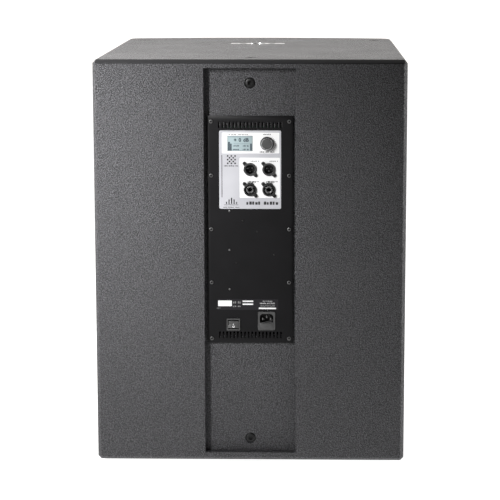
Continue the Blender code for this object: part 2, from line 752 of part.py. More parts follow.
def encoder():
    """Rotary encoder with a push switch: body, plunger, shaft and knob, all on the knob's axis."""
    frame = rear_frame("encoder_axis", KNOB_CENTRE)
    case = box((-0.006, -0.006, -0.0110), (0.006, 0.006, -0.0030))
    body = piece("encoder_body", case, "zinc_steel", frame)
    add(body, "encoder_bushing", rod((0, 0), 0.0034, -0.0040, LABEL_FACE + 0.0005, 16), frame)
    bore = rod((0, 0), 0.0022, -0.0055, 0.01, 16)
    cut(body, "encoder_bore", bore, frame)
    cavity = rod((0, 0), 0.0040, -0.0098, -0.0050, 16)
    cut(body, "encoder_cavity", cavity, frame)
    plunger = rod((0, 0), 0.0034, -0.0084, -0.0072, 16)
    piece("encoder_plunger", plunger, "black_plastic", frame)
    shaft = [(0.0, -0.0069), (0.0030, -0.0069), (0.0030, -0.0060), (0.0018, -0.0060)]
    base = LABEL_FACE + ENCODER_TRAVEL + 2 * GAP
    top = base + KNOB_HEIGHT
    bore_top = top - 0.0025
    shaft += [(0.0018, bore_top - GAP), (0.0, bore_top - GAP)]
    piece("encoder_shaft", turn(shaft, 16, closed=False), "zinc_steel", frame)
    profile = [
        (0.0, top), (KNOB_CAP_R - 0.0006, top), (KNOB_CAP_R, top - 0.0006),
        (KNOB_CAP_R + 0.0006, base + 0.0030), (KNOB_SKIRT_R - 0.0003, base + 0.0018),
        (KNOB_SKIRT_R, base), (0.0060, base), (0.0060, base + 0.0020),
        (0.0021, base + 0.0020), (0.0021, bore_top), (0.0, bore_top),
    ]  # fmt: skip
    return piece("encoder_knob", turn(profile, 20, closed=False), "grey_plastic", frame)


def rear_frame(name, place=(0, 0)):
    """Frame on the plate's outer face: +X to the right seen from behind, +Y up, +Z outwards."""
    return frame_empty(name, (-place[0], PLATE_FACE_Y, place[1]), (math.pi / 2, 0, math.pi))


# ======== amplifier: sockets ========


def socket_outline():
    """Round body with one ear up to the left and one down to the right."""
    reach = EAR_OFFSET.length
    lean = math.atan2(EAR_OFFSET.y, EAR_OFFSET.x)
    spread = math.asin(EAR_R / SOCKET_R)
    points = []
    for turn_by in (lean, lean + math.pi):
        tip = (reach * math.cos(turn_by), reach * math.sin(turn_by))
        points += arc(tip, EAR_R, turn_by - math.pi / 2, turn_by + math.pi / 2, 4)
        points += arc((0, 0), SOCKET_R, turn_by + spread, turn_by + math.pi - spread, 8)
    return points


def socket_body(name, frame):
    """Flange with ears, and the barrel behind it."""
    face = LABEL_FACE + FLANGE_THICK
    flange = extrude_outline(socket_outline(), LABEL_FACE + GAP, face)
    body = piece(name, flange, "black_plastic", frame)
    barrel = rod((0, 0), SOCKET_BARREL_R, -SOCKET_DEPTH, face - FLANGE_THICK / 3, SOCKET_SIDES)
    return add(body, f"{name}_barrel", barrel, frame)


def xlr_output(name, u, v):
    """Male three-pin socket: an open cup with its pins standing on the floor."""
    frame = rear_frame(f"{name}_axis", (u, v))
    body = socket_body(name, frame)
    floor = -0.0130
    cut(body, f"{name}_cup", rod((0, 0), 0.0082, floor, 0.01, SOCKET_SIDES), frame)
    pins = bmesh.new()
    for pin_u, pin_v in ((-0.0036, 0.0018), (0.0036, 0.0018), (0.0, -0.0036)):
        extend_rod(pins, (pin_u, pin_v), 0.0012, floor - 0.002, 0.0000, 6)
    return add(body, f"{name}_pins", pins, frame)


def combo_input(name, u, v):
    """Combined socket: a ring groove for a plug's shell round a core with four holes."""
    frame = rear_frame(f"{name}_axis", (u, v))
    body = socket_body(name, frame)
    profile = [(0.0075, -0.0130), (0.0090, -0.0130), (0.0090, CLEAR), (0.0075, CLEAR)]
    cut(body, f"{name}_groove", turn(profile, SOCKET_SIDES), frame)
    holes = rod((0, 0), 0.0034, -0.0200, 0.01, 10)
    for hole_u, hole_v in ((-0.0050, 0.0022), (0.0050, 0.0022), (0.0, -0.0054)):
        extend_rod(holes, (hole_u, hole_v), 0.0013, -0.0120, 0.01, 6)
    return cut(body, f"{name}_holes", holes, frame)


def c14_outline():
    """Six-sided mouth of the mains inlet, with its top corners cut off."""
    nick = 0.0038
    return [
        (-C14_HALF_W, C14_LOW), (C14_HALF_W, C14_LOW), (C14_HALF_W, C14_HIGH - nick),
        (C14_HALF_W - nick, C14_HIGH), (nick - C14_HALF_W, C14_HIGH), (-C14_HALF_W, C14_HIGH - nick),
    ]  # fmt: skip


def iec_inlet():
    """Mains inlet with a fuse drawer under its mouth."""
    frame = rear_frame("iec_inlet_axis", INLET_CENTRE)
    flange = extrude_outline(rounded_rectangle((0, 0), INLET_SIZE, 0.002, 2), GAP, FLANGE_THICK)
    inlet = piece("iec_inlet", flange, "grey_plastic", frame)
    body = box((-0.0135, -0.0147, -0.0240), (0.0135, 0.0146, 0.0010))
    add(inlet, "iec_inlet_body", body, frame)
    mouth = extrude_outline(c14_outline(), -0.0170, CLEAR)
    cut(inlet, "iec_mouth", mouth, frame)
    low = (-DRAWER_HALF_W - GAP, DRAWER_LOW - GAP, DRAWER_BACK - GAP)
    high = (DRAWER_HALF_W + GAP, DRAWER_HIGH + GAP, CLEAR)
    cut(inlet, "drawer_pocket", box(low, high), frame)
    blades = bmesh.new()
    for u, v in ((-0.0070, 0.0030), (0.0, 0.0070), (0.0070, 0.0030)):
        extend_box(blades, (u - 0.0010, v - 0.0020, -0.0180), (u + 0.0010, v + 0.0020, -0.0015))
    return add(inlet, "iec_blades", blades, frame)


def fuse_drawer():
    """Pull-out drawer with a trough for one glass fuse."""
    frame = rear_frame("fuse_drawer_axis", INLET_CENTRE)
    low = (-DRAWER_HALF_W, DRAWER_LOW, DRAWER_BACK)
    high = (DRAWER_HALF_W, DRAWER_HIGH, DRAWER_FACE)
    drawer = piece("fuse_drawer", box(low, high), "grey_plastic", frame)
    trough = box((-0.0104, -0.0122, -0.0120), (0.0104, 0.0, -0.0060))
    cut(drawer, "fuse_trough", trough, frame)
    barrel = rod((0, 0), 0.0026, -0.0100, 0.0100, 12)
    bmesh.ops.transform(barrel, matrix=Matrix.Rotation(math.pi / 2, 4, "Y"), verts=barrel.verts)
    piece("fuse", barrel, "fuse_glass", frame, (0, -0.0092, -0.0090))


def mains_switch():
    """Bezel with a well, and the rocker that tips about a level pin inside it."""
    frame = rear_frame("mains_switch_axis", SWITCH_CENTRE)
    bezel = extrude_outline(rounded_rectangle((0, 0), SWITCH_SIZE, 0.0012, 2), GAP, FLANGE_THICK)
    housing = piece("switch_housing", bezel, "grey_plastic", frame)
    case = box((-0.0105, -0.0091, -0.0180), (0.0105, 0.0091, 0.0010))
    add(housing, "switch_case", case, frame)
    half_u, half_v = (side / 2 for side in SWITCH_OPENING)
    well = box((-half_u, -half_v, -0.0150), (half_u, half_v, 0.01))
    cut(housing, "switch_well", well, frame)
    pivot_w = -0.0040
    reach = half_v - 0.0008
    ridge = 0.0050
    tip = ridge + reach * math.tan(ROCKER_TILT)
    outline = [(-reach, tip), (0.0, ridge), (reach, tip), (reach * 0.9, 0.0)]
    outline += [(0.0, -0.0040), (-reach * 0.9, 0.0)]
    bm = extrude_outline(outline, -half_u + 0.0004, half_u - 0.0004)
    along_u = Matrix(((0, 0, 1, 0), (1, 0, 0, 0), (0, 1, 0, 0), (0, 0, 0, 1)))
    bmesh.ops.transform(bm, matrix=along_u, verts=bm.verts)
    rocker = piece("switch_rocker", bm, "grey_plastic", frame, (0, 0, pivot_w))
    rocker.rotation_euler = (-ROCKER_TILT, 0, 0)


# ======== amplifier: case and electronics ========


def amp_chassis(frame):
    """Steel box behind the plate, open towards it, with a cable hole in its front wall."""
    wall = 0.0012
    depth = PLATE_FACE_Y - CHASSIS_FRONT_Y
    half_w = CUTOUT_HALF_W - 0.002
    low_v = PLATE_LOW + CUTOUT_MARGIN + 0.002
    high_v = PLATE_HIGH - CUTOUT_MARGIN - 0.002
    bm = box((-half_w, low_v, -depth), (half_w, high_v, -PLATE_THICK - GAP))
    chassis = piece("amp_chassis", bm, "zinc_steel", frame)
    inside = box((-half_w + wall, low_v + wall, wall - depth), (half_w - wall, high_v - wall, 0.01))
    return cut(chassis, "chassis_inside", inside, frame)


def heat_sink(frame):
    """Extruded heat sink: a base plate with upright fins, made from one comb outline."""
    count = 11
    pitch = 0.0100
    fin = 0.0020
    base = 0.0050
    reach = -0.0210
    outline = []
    for number in range(count):
        centre = (number - (count - 1) / 2) * pitch
        outline += [(centre - fin / 2, 0.0), (centre - fin / 2, reach)]
        outline += [(centre + fin / 2, reach), (centre + fin / 2, 0.0)]
    edge = (count - 1) / 2 * pitch + fin / 2
    outline = [(-edge, base), *outline[1:-1], (edge, base)]
    bm = extrude_outline(outline, 0, 0.250)
    upright = Matrix(((1, 0, 0, 0), (0, 0, 1, 0), (0, 1, 0, 0), (0, 0, 0, 1)))
    bmesh.ops.transform(bm, matrix=upright, verts=bm.verts)
    return piece("heat_sink", bm, "aluminium", frame, (0, 0.310, -0.1145))


def boards(frame):
    """Circuit boards and the tall parts on them."""
    plates = (
        ("amp_board", 0.055, 0.300, 0.560, AMP_BOARD_W),
        ("power_board", 0.055, 0.240, 0.450, POWER_BOARD_W),
        ("control_board", 0.052, 0.465, 0.600, CONTROL_BOARD_W),
    )
    made = {}
    for name, half_u, low_v, high_v, back in plates:
        plate = box((-half_u, low_v, back), (half_u, high_v, back + BOARD_THICK))
        made[name] = piece(name, plate, "circuit_board", frame)
    face = POWER_BOARD_W + BOARD_THICK
    cans = bmesh.new()
    for u in (0.0150, 0.0420):
        extend_rod(cans, (u, 0.330), 0.0125, face - 0.0006, face + 0.0304, 20)
    add(made["power_board"], "capacitors", cans, frame)
    core = box((-0.050, 0.330, face + GAP), (-0.006, 0.380, face + 0.034))
    piece("transformer", core, "ferrite", frame)


def build():
    clear_scene()
    horizontal_panel("bottom_panel", FOOT_HEIGHT, FOOT_HEIGHT)
    top = horizontal_panel("top_panel", CEILING, HEIGHT)
    side_panel("side_panel_left", 1)
    side_panel("side_panel_right", -1)
    rear_panel()
    rear_board("rear_board_left", 1)
    rear_board("rear_board_right", -1)
    front_baffle()
    port_shelf()
    window_brace()
    curved_sheet("front_grille", GRILLE_INSET, GRILLE_THICK, "grille_steel")
    curved_sheet("grille_foam", GRILLE_INSET + GRILLE_THICK + GAP, FOAM_THICK, "black_foam")
    for end, y in (("front", -FOOT_Y), ("rear", FOOT_Y)):
        for side, x in (("left", FOOT_X), ("right", -FOOT_X)):
            foot(f"foot_{end}_{side}", x, y)
    handle("handle_left", 1)
    handle("handle_right", -1)
    pole_mount()
    grown = extrude_outline(pole_mount_outline(GAP), -0.0033, 0.01)
    place = (0, POLE_Y, HEIGHT)
    cut(top, "pole_flange_pocket", grown, location=place)
    cut(top, "pole_tube_hole", rod((0, 0), POLE_TUBE_R + 2 * GAP, -0.05, -0.001, 24), location=place)
    bolts(top)
    woofer()
    speaker_cable()

    frame = rear_frame("plate_face")
    amp_plate(frame)
    plate_gasket(frame)
    label_panel(frame)
    display(frame)
    encoder()
    for name, u, v in socket_places():
        maker = xlr_output if v == OUTPUT_V else combo_input
        maker(name, u, v)
    iec_inlet()
    fuse_drawer()
    mains_switch()
    amp_chassis(frame)
    heat_sink(frame)
    boards(frame)


build()
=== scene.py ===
"""Looks of the powered subwoofer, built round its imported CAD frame.

Metres, +Z up. The grille faces -Y and the amplifier faces +Y. On the back, u runs to the right as
someone behind the cabinet sees it (-X), v runs up and w runs out of the amplifier plate.
"""

import json
import math

import bmesh
import bpy
from mathutils import Matrix, Vector, noise

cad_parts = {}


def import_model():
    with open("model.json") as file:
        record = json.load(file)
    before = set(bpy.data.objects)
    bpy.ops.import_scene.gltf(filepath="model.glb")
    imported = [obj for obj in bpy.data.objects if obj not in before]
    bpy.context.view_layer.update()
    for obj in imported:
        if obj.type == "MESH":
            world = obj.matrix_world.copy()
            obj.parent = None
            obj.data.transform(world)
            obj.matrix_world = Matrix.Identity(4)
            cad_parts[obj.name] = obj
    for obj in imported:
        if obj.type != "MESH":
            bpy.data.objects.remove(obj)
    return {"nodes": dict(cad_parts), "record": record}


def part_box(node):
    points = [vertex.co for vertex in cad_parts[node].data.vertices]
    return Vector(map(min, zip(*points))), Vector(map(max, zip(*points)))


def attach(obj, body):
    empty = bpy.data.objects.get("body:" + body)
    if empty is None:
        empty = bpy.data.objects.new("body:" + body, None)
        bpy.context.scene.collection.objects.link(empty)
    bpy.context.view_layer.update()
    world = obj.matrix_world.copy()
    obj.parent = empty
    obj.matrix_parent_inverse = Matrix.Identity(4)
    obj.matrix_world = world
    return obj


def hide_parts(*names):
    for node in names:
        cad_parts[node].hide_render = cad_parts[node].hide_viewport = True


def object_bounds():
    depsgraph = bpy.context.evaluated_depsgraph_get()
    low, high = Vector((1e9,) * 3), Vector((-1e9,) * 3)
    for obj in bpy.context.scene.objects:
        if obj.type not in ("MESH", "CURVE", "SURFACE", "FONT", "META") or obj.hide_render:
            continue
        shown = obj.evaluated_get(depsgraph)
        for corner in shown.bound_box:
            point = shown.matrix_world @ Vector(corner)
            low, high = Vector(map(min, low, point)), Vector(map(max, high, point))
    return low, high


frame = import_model()
cad_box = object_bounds()

# ---- sizes read from the frame ----
HALF_W = cad_box[1].x
REAR_Y = cad_box[1].y
FRONT_Y = cad_box[0].y
TOP_Z = cad_box[1].z
BASE_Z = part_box("bottom_panel")[0].z
INNER_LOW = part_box("bottom_panel")[1].z
INNER_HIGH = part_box("top_panel")[0].z
SIDE_FRONT_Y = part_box("side_panel_left")[0].y
INNER_HALF_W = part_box("side_panel_left")[0].x
CHANNEL_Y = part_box("rear_panel")[1].y
CAVITY_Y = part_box("rear_panel")[0].y
CHANNEL_HALF_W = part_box("rear_board_left")[0].x
PLATE_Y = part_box("amp_plate")[1].y
PLATE_THICK = PLATE_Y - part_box("amp_plate")[0].y
PLATE_HALF_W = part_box("amp_plate")[1].x
PLATE_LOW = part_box("amp_plate")[0].z
PLATE_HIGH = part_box("amp_plate")[1].z
LABEL_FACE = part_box("label_panel")[1].y - PLATE_Y
BAFFLE_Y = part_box("front_baffle")[0].y
GAP = 0.0003
PRINT = 0.00004
CLEAR = 0.010
CHAMFER = 0.006
EDGE_ROUND = 0.0010
CHANNEL_ROUND = 0.0016
SHARP_ANGLE = math.radians(33)
TINY = 1e-5

# ---- bowed front ----
BOW_SAGITTA = 0.030
BOW_RADIUS = (HALF_W**2 + BOW_SAGITTA**2) / (2 * BOW_SAGITTA)
BOW_CENTRE_Y = FRONT_Y + BOW_RADIUS
CORNER_RADIUS = 0.028
CORNER_X = HALF_W - CORNER_RADIUS
CORNER_Y = BOW_CENTRE_Y - math.sqrt((BOW_RADIUS - CORNER_RADIUS) ** 2 - CORNER_X**2)
CORNER_ANGLE = math.atan2(CORNER_X, BOW_CENTRE_Y - CORNER_Y)
GRILLE_INSET = 0.005
GRILLE_THICK = 0.0015
GRILLE_PITCH = 0.010
GRILLE_HOLE_R = 0.0046
GRILLE_BORDER = 0.012

# ---- amplifier plate ----
CUTOUT_HALF_W = 0.0625
CUTOUT_MARGIN = 0.0125
PLATE_SCREW_U = 0.0676
PLATE_SCREW_V = (0.610, 0.516, 0.422, 0.328, 0.228)
VENT_COUNT = 18
VENT_PITCH = 0.0063
VENT_U = [(number - (VENT_COUNT - 1) / 2) * VENT_PITCH for number in range(VENT_COUNT)]
VENT_SIZE = (0.0032, 0.0110)
VENT_V = (0.6040, 0.2345)
SOCKET_R = 0.0113
BARREL_R = 0.0098
EAR = Vector((-0.0098, 0.0104))
EAR_R = 0.0032
FLANGE_THICK = 0.0022
ROCKER_TILT = math.radians(8)
ROCKER_PIVOT_W = -0.0040
OUTPUTS = ("xlr_output_1", "xlr_output_2")
INPUTS = ("combo_input_1", "combo_input_2")

# ---- hardware ----
BOLT_R = 0.0093
BOLT_SHANK_R = 0.0050
BOLT_HOLE_R = 0.01015
HANDLE_CORNER = 0.016
HANDLE_OPENING_CORNER = 0.008
HANDLE_WALL = 0.002
HANDLE_RIBS = 36
POLE_BORE_R = 0.0175
POLE_TUBE_R = 0.0200
POLE_SCREW_U = 0.041
BASKET_SCREW_R = 0.2210

# ---- studio: places in metres, powers in watts, angles in degrees ----
CAMERA_PLACE = (-0.1047, 3.3737, 0.9296)
CAMERA_TURN = (math.pi / 2 - 0.1538, 0, math.pi + 0.0202)
CAMERA_LENS = 128.4
CAMERA_SHIFT = (-0.05, -0.08)
LIGHTS = (
    # name, place, target, size, power, spread
    ("key", (0.70, 1.18, 0.98), (0.32, 0.33, 0.56), (0.16, 0.60), 3.8, 54),
    ("overhead", (1.3, -0.9, 2.0), (0.1, 0, 0.7), (1.0, 1.0), 34, 180),
    ("edge", (-1.9, -0.05, 0.8), (-0.27, 0.30, 0.40), (0.3, 1.6), 26, 180),
)
WORLD_COLOUR = (1.0, 0.975, 0.945, 1)
WORLD_LEVELS = ((-0.60, 0.10, 1.30, 0.04), (0.94, 1.0, 0.0, 0.14))
FLOOR_RADIUS = 9.0
FLOOR_GLOW = (1.00, 0.08)
FLOOR_FADE_Y = (0.52, 1.05)

# ======== places ========


def middle(node):
    """Middle of a node's box in the cabinet's own frame."""
    low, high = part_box(node)
    return tuple((first + second) / 2 for first, second in zip(low, high))


def centre_uv(node):
    """Middle of a node on the amplifier plate, as (u, v)."""
    x, _, z = middle(node)
    return (-x, z)


def size_uv(node):
    low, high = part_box(node)
    return (high.x - low.x, high.z - low.z)


def on_plate(u=0.0, v=0.0):
    """Matrix of the frame (u, v, w) whose origin is a point of the amplifier plate's face."""
    axes = Matrix(((-1, 0, 0, 0), (0, 0, 1, PLATE_Y), (0, 1, 0, 0), (0, 0, 0, 1)))
    return Matrix.Translation((-u, 0, v)) @ axes


def at_node(node):
    return on_plate(*centre_uv(node))


def shift(u, v, w=0.0):
    return Matrix.Translation((u, v, w))


def on_side(side):
    """Frame at the middle of a handle: +Z out of the cabinet's side, +Y up."""
    _, y, z = middle("handle_left")
    turned = Matrix.Rotation(side * math.pi / 2, 4, "Z") @ Matrix.Rotation(math.pi / 2, 4, "X")
    return shift(side * HALF_W, y, z) @ turned


def on_woofer():
    """Frame on the baffle's front face at the woofer's axis: +Z towards the listener."""
    height = middle("woofer_basket")[2]
    return shift(0, BAFFLE_Y, height) @ Matrix.Rotation(math.pi / 2, 4, "X")


# ======== shapes ========


def arc(centre, radius, start, end, steps):
    angles = [start + (end - start) * i / steps for i in range(steps + 1)]
    return [(centre[0] + radius * math.cos(a), centre[1] + radius * math.sin(a)) for a in angles]


def circle(centre, radius, steps=48):
    return arc(centre, radius, 0, math.tau, steps)[:-1]


def rounded_rectangle(centre, size, radius, steps=6):
    half_w = size[0] / 2 - radius
    half_h = size[1] / 2 - radius
    points = []
    for quarter, (sx, sy) in enumerate(((1, 1), (-1, 1), (-1, -1), (1, -1))):
        corner = (centre[0] + sx * half_w, centre[1] + sy * half_h)
        start = quarter * math.pi / 2
        points += arc(corner, radius, start, start + math.pi / 2, steps)
    return points


def fillet(points, radius, steps=3, closed=True):
    """Rounds the corners of a polyline with short curves tangent to both sides."""
    count = len(points)
    rounded = []
    for i, point in enumerate(points):
        if not closed and i in (0, count - 1):
            rounded.append(tuple(point))
            continue
        here = Vector(point)
        before = Vector(points[i - 1]) - here
        after = Vector(points[(i + 1) % count]) - here
        reach = min(radius, before.length * 0.45, after.length * 0.45)
        start = here + before.normalized() * reach
        end = here + after.normalized() * reach
        for step in range(steps + 1):
            t = step / steps
            mid = start * (1 - t) ** 2 + here * 2 * t * (1 - t) + end * t**2
            rounded.append(tuple(mid))
    return rounded


def bevelled(bm, edges, width, segments=1, clamp=False):
    options = {"affect": "EDGES", "profile": 0.5, "clamp_overlap": clamp}
    bmesh.ops.bevel(bm, geom=edges, offset=width, segments=segments, **options)
    return bm


def soften(bm, width, segments=2, angle=math.radians(35)):
    """Rounds every edge of bm that is sharper than the angle."""
    if width > 0:
        sharp = [e for e in bm.edges if e.is_manifold and e.calc_face_angle(0) > angle]
        bevelled(bm, sharp, width, segments, clamp=True)
    return bm


def prism(outline, low, high, edge=0.0, segments=2):
    """Upright solid over a closed outline, with its edges rounded."""
    bm = bmesh.new()
    base = bm.faces.new([bm.verts.new((x, y, low)) for x, y in outline])
    top = bmesh.ops.extrude_face_region(bm, geom=[base])["geom"]
    lifted = [item for item in top if isinstance(item, bmesh.types.BMVert)]
    bmesh.ops.translate(bm, verts=lifted, vec=(0, 0, high - low))
    bmesh.ops.recalc_face_normals(bm, faces=bm.faces)
    return soften(bm, edge, segments)


def block(low, high, edge=0.0, segments=2):
    outline = [(low[0], low[1]), (high[0], low[1]), (high[0], high[1]), (low[0], high[1])]
    return prism(outline, low[2], high[2], edge, segments)


def rod(centre, radius, low, high, steps=48, edge=0.0):
    return prism(circle(centre, radius, steps), low, high, edge)


def lathe(profile, steps=96, closed=True):
    """Spins (radius, height) points about Z. An open profile starts and ends on the axis."""
    bm = bmesh.new()
    verts = [bm.verts.new((r, 0, h)) for r, h in profile]
    pairs = list(zip(verts, verts[1:]))
    if closed:
        pairs.append((verts[-1], verts[0]))
    edges = [bm.edges.new(pair) for pair in pairs]
    turn = {"cent": (0, 0, 0), "axis": (0, 0, 1), "angle": math.tau}
    bmesh.ops.spin(bm, geom=verts + edges, steps=steps, use_merge=True, **turn)
    bmesh.ops.remove_doubles(bm, verts=bm.verts, dist=1e-6)
    bmesh.ops.recalc_face_normals(bm, faces=bm.faces)
    return bm


def moved(bm, matrix):
    bmesh.ops.transform(bm, matrix=matrix, verts=bm.verts)
    return bm


def as_mesh(name, bm):
    mesh = bpy.data.meshes.new(name)
    bm.to_mesh(mesh)
    bm.free()
    return mesh


def in_scene(name, data):
    obj = bpy.data.objects.new(name, data)
    bpy.context.scene.collection.objects.link(obj)
    return obj


def evaluated_solid(obj):
    """A bmesh of the object as it is after its modifiers."""
    evaluated = obj.evaluated_get(bpy.context.evaluated_depsgraph_get())
    bm = bmesh.new()
    bm.from_mesh(evaluated.to_mesh())
    evaluated.to_mesh_clear()
    return bm


def joined(parts):
    """One bmesh with all the parts, each left as its own closed body."""
    whole = bmesh.new()
    for part in parts:
        mesh = as_mesh("part", part)
        whole.from_mesh(mesh)
        bpy.data.meshes.remove(mesh)
    return whole


def carved(solid, cutters, operation="DIFFERENCE"):
    """The solid after a Boolean with each cutter in turn."""
    objects = [in_scene("blank", as_mesh("blank", bm)) for bm in [solid, *cutters]]
    for cutter in objects[1:]:
        modifier = objects[0].modifiers.new("carve", "BOOLEAN")
        modifier.operation = operation
        modifier.object = cutter
    result = evaluated_solid(objects[0])
    for blank in objects:
        mesh = blank.data
        bpy.data.objects.remove(blank)
        bpy.data.meshes.remove(mesh)
    return result


def front_curve(inset, end_y, steps):
    """The bowed front from its left end to its right end, as seen from above."""
    bow = math.pi / 2 - CORNER_ANGLE
    left = arc((CORNER_X, CORNER_Y), CORNER_RADIUS - inset, 0, -bow, steps[0])
    front = arc((0, BOW_CENTRE_Y), BOW_RADIUS - inset, -bow, bow - math.pi, steps[1])
    right = arc((-CORNER_X, CORNER_Y), CORNER_RADIUS - inset, bow - math.pi, -math.pi, steps[0])
    return [(HALF_W - inset, end_y), *left, *front[1:-1], *right, (inset - HALF_W, end_y)]


# ======== materials ========


WAVE_SCALE = 0.314


def map_range(tree, value, limits, levels):
    """Maps a shader value from the limits to the levels."""
    node = tree.nodes.new("ShaderNodeMapRange")
    for name, number in zip(("From Min", "From Max", "To Min", "To Max"), (*limits, *levels)):
        node.inputs[name].default_value = number
    tree.links.new(value, node.inputs["Value"])
    return node.outputs["Result"]


def combined(tree, first, second, kind):
    node = tree.nodes.new("ShaderNodeMath")
    node.operation = kind
    tree.links.new(first, node.inputs[0])
    tree.links.new(second, node.inputs[1])
    return node.outputs[0]


def length_along(tree, vector, axis):
    node = tree.nodes.new("ShaderNodeVectorMath")
    node.operation = "DOT_PRODUCT"
    node.inputs[1].default_value = axis
    tree.links.new(vector, node.inputs[0])
    return node.outputs["Value"]


class Look:
    """A procedural material. Its textures follow the piece's own coordinates, in metres."""

    def __init__(self, name, roughness=0.5, metallic=0.0, specular=0.5, coat=0.0):
        self.material = bpy.data.materials.new(name)
        self.material.use_nodes = True
        self.tree = self.material.node_tree
        self.shader = self.tree.nodes["Principled BSDF"]
        self.shader.inputs["Roughness"].default_value = roughness
        self.shader.inputs["Metallic"].default_value = metallic
        self.shader.inputs["Specular IOR Level"].default_value = specular
        self.shader.inputs["Coat Weight"].default_value = coat
        self.shader.inputs["Coat Roughness"].default_value = 0.08
        self.place = self.tree.nodes.new("ShaderNodeTexCoord").outputs["Object"]

    def link(self, source, target):
        self.tree.links.new(source, target)

    def stretched(self, stretch):
        mapping = self.tree.nodes.new("ShaderNodeMapping")
        mapping.inputs["Scale"].default_value = stretch
        self.link(self.place, mapping.inputs["Vector"])
        return mapping.outputs["Vector"]

    def noise(self, size, detail=2.0, stretch=(1, 1, 1)):
        """Soft noise whose blotches are about size metres wide."""
        node = self.tree.nodes.new("ShaderNodeTexNoise")
        node.inputs["Scale"].default_value = 1 / size
        node.inputs["Detail"].default_value = detail
        self.link(self.stretched(stretch), node.inputs["Vector"])
        return node.outputs["Fac"]

    def cells(self, size, feature="F1"):
        """Distance from the middles, or the borders, of cells about size metres wide."""
        node = self.tree.nodes.new("ShaderNodeTexVoronoi")
        node.feature = feature
        node.inputs["Scale"].default_value = 1 / size
        self.link(self.place, node.inputs["Vector"])
        return node.outputs["Distance"]

    def bands(self, size, direction="Z", wander=0.0):
        """Parallel stripes about size metres apart."""
        node = self.tree.nodes.new("ShaderNodeTexWave")
        node.bands_direction = direction
        node.inputs["Scale"].default_value = WAVE_SCALE / size
        node.inputs["Distortion"].default_value = wander
        self.link(self.place, node.inputs["Vector"])
        return node.outputs["Fac"]

    def blend(self, first, second, kind="MULTIPLY"):
        return combined(self.tree, first, second, kind)

    def span(self, value, low, high, start=0.0, end=1.0):
        """Maps a texture value from start..end to low..high."""
        return map_range(self.tree, value, (start, end), (low, high))

    def colour(self, value, dark, light, start=0.3, end=0.7):
        """Colours the surface from dark to light as the texture value goes from start to end."""
        ramp = self.tree.nodes.new("ShaderNodeValToRGB")
        ramp.color_ramp.elements[0].position = start
        ramp.color_ramp.elements[0].color = (*dark, 1)
        ramp.color_ramp.elements[1].position = end
        ramp.color_ramp.elements[1].color = (*light, 1)
        self.link(value, ramp.inputs["Fac"])
        self.link(ramp.outputs["Color"], self.shader.inputs["Base Color"])

    def rough(self, value, low, high, start=0.3, end=0.7):
        self.link(self.span(value, low, high, start, end), self.shader.inputs["Roughness"])

    def bump(self, value, height, strength=1.0):
        """Raises the surface by up to height metres."""
        node = self.tree.nodes.new("ShaderNodeBump")
        node.inputs["Strength"].default_value = strength
        node.inputs["Distance"].default_value = height
        self.link(value, node.inputs["Height"])
        self.link(node.outputs["Normal"], self.shader.inputs["Normal"])
        return self


def grey(value, tint=(1.0, 1.0, 1.0)):
    return tuple(value * channel for channel in tint)


def cabinet_paint():
    """Black structured coating with grains about 2 mm wide. The rear top chamfer is smooth and painted in
    the coating's darkest tone as shade.
    """
    look = Look("cabinet_paint")
    grains = look.cells(0.0023)
    mottle = look.noise(0.0020)
    cloud = look.noise(0.09)
    tint = (0.98, 0.97, 1.04)
    # Painted shade: the mask below takes the grain off the rear top chamfer and gives it the darkest
    # tone.
    up_and_back = length_along(look.tree, look.place, (0, 1, 1))
    chamfer_sum = REAR_Y + TOP_Z - CHAMFER
    limits = (chamfer_sum - 0.0012, chamfer_sum - 0.0003)
    grain_and_chamfer_shade = look.span(up_and_back, 1.0, 0.0, *limits)
    peaks = look.blend(mottle, look.span(grains, 0.40, 0.0, 0.0, 0.7), "ADD")
    peaks = look.blend(peaks, grain_and_chamfer_shade)
    look.colour(peaks, grey(0.018, tint), grey(0.140, tint), 0.46, 0.94)
    look.rough(cloud, 0.42, 0.50)
    return look.bump(peaks, 0.0025)


def bare_plywood():
    look = Look("bare_plywood", specular=0.3)
    plies = look.bands(0.0028, "Z", 0.6)
    fibres = look.noise(0.003, 4.0, (0.05, 1, 1))
    look.colour(look.blend(plies, fibres), (0.30, 0.19, 0.095), (0.55, 0.40, 0.24), 0.1, 0.6)
    look.rough(fibres, 0.60, 0.80)
    return look.bump(fibres, 0.0002, 0.5)


def powder_coat(name, dark, light, roughness, specular=0.5):
    """Fine orange-peel powder coat."""
    look = Look(name, specular=specular)
    peel = look.noise(0.0011)
    cloud = look.noise(0.03)
    look.colour(cloud, dark, light)
    look.rough(peel, roughness - 0.05, roughness + 0.07)
    return look.bump(peel, 0.00012, 0.5)


def moulded(name, dark, light, roughness, grain=0.0006):
    """Moulded plastic or rubber with a fine spark-eroded grain."""
    look = Look(name)
    fine = look.noise(grain, 3.0)
    look.colour(look.noise(0.012, 3.0), dark, light)
    look.rough(fine, roughness - 0.06, roughness + 0.08)
    return look.bump(fine, 0.00006, 0.6)


def metal(name, dark, light, roughness, stretch=(1, 1, 1), grain=0.002):
    """Bare or plated metal, brushed along the axis that stretch makes longest."""
    look = Look(name, metallic=1.0)
    brushed = look.noise(grain, 4.0, stretch)
    look.colour(brushed, dark, light)
    look.rough(brushed, roughness - 0.08, roughness + 0.10)
    return look.bump(brushed, 0.00004, 0.5)


def foam():
    look = Look("black_foam", specular=0.15)
    pores = look.cells(0.0009)
    look.colour(pores, grey(0.002), grey(0.016), 0.1, 0.7)
    look.rough(pores, 0.90, 1.0)
    return look.bump(pores, 0.0005)


def cone_paper():
    look = Look("cone_paper", specular=0.3)
    fibres = look.noise(0.0012, 5.0, (1, 1, 0.4))
    look.colour(fibres, grey(0.010), grey(0.034))
    look.rough(fibres, 0.65, 0.85)
    return look.bump(fibres, 0.0002, 0.8)


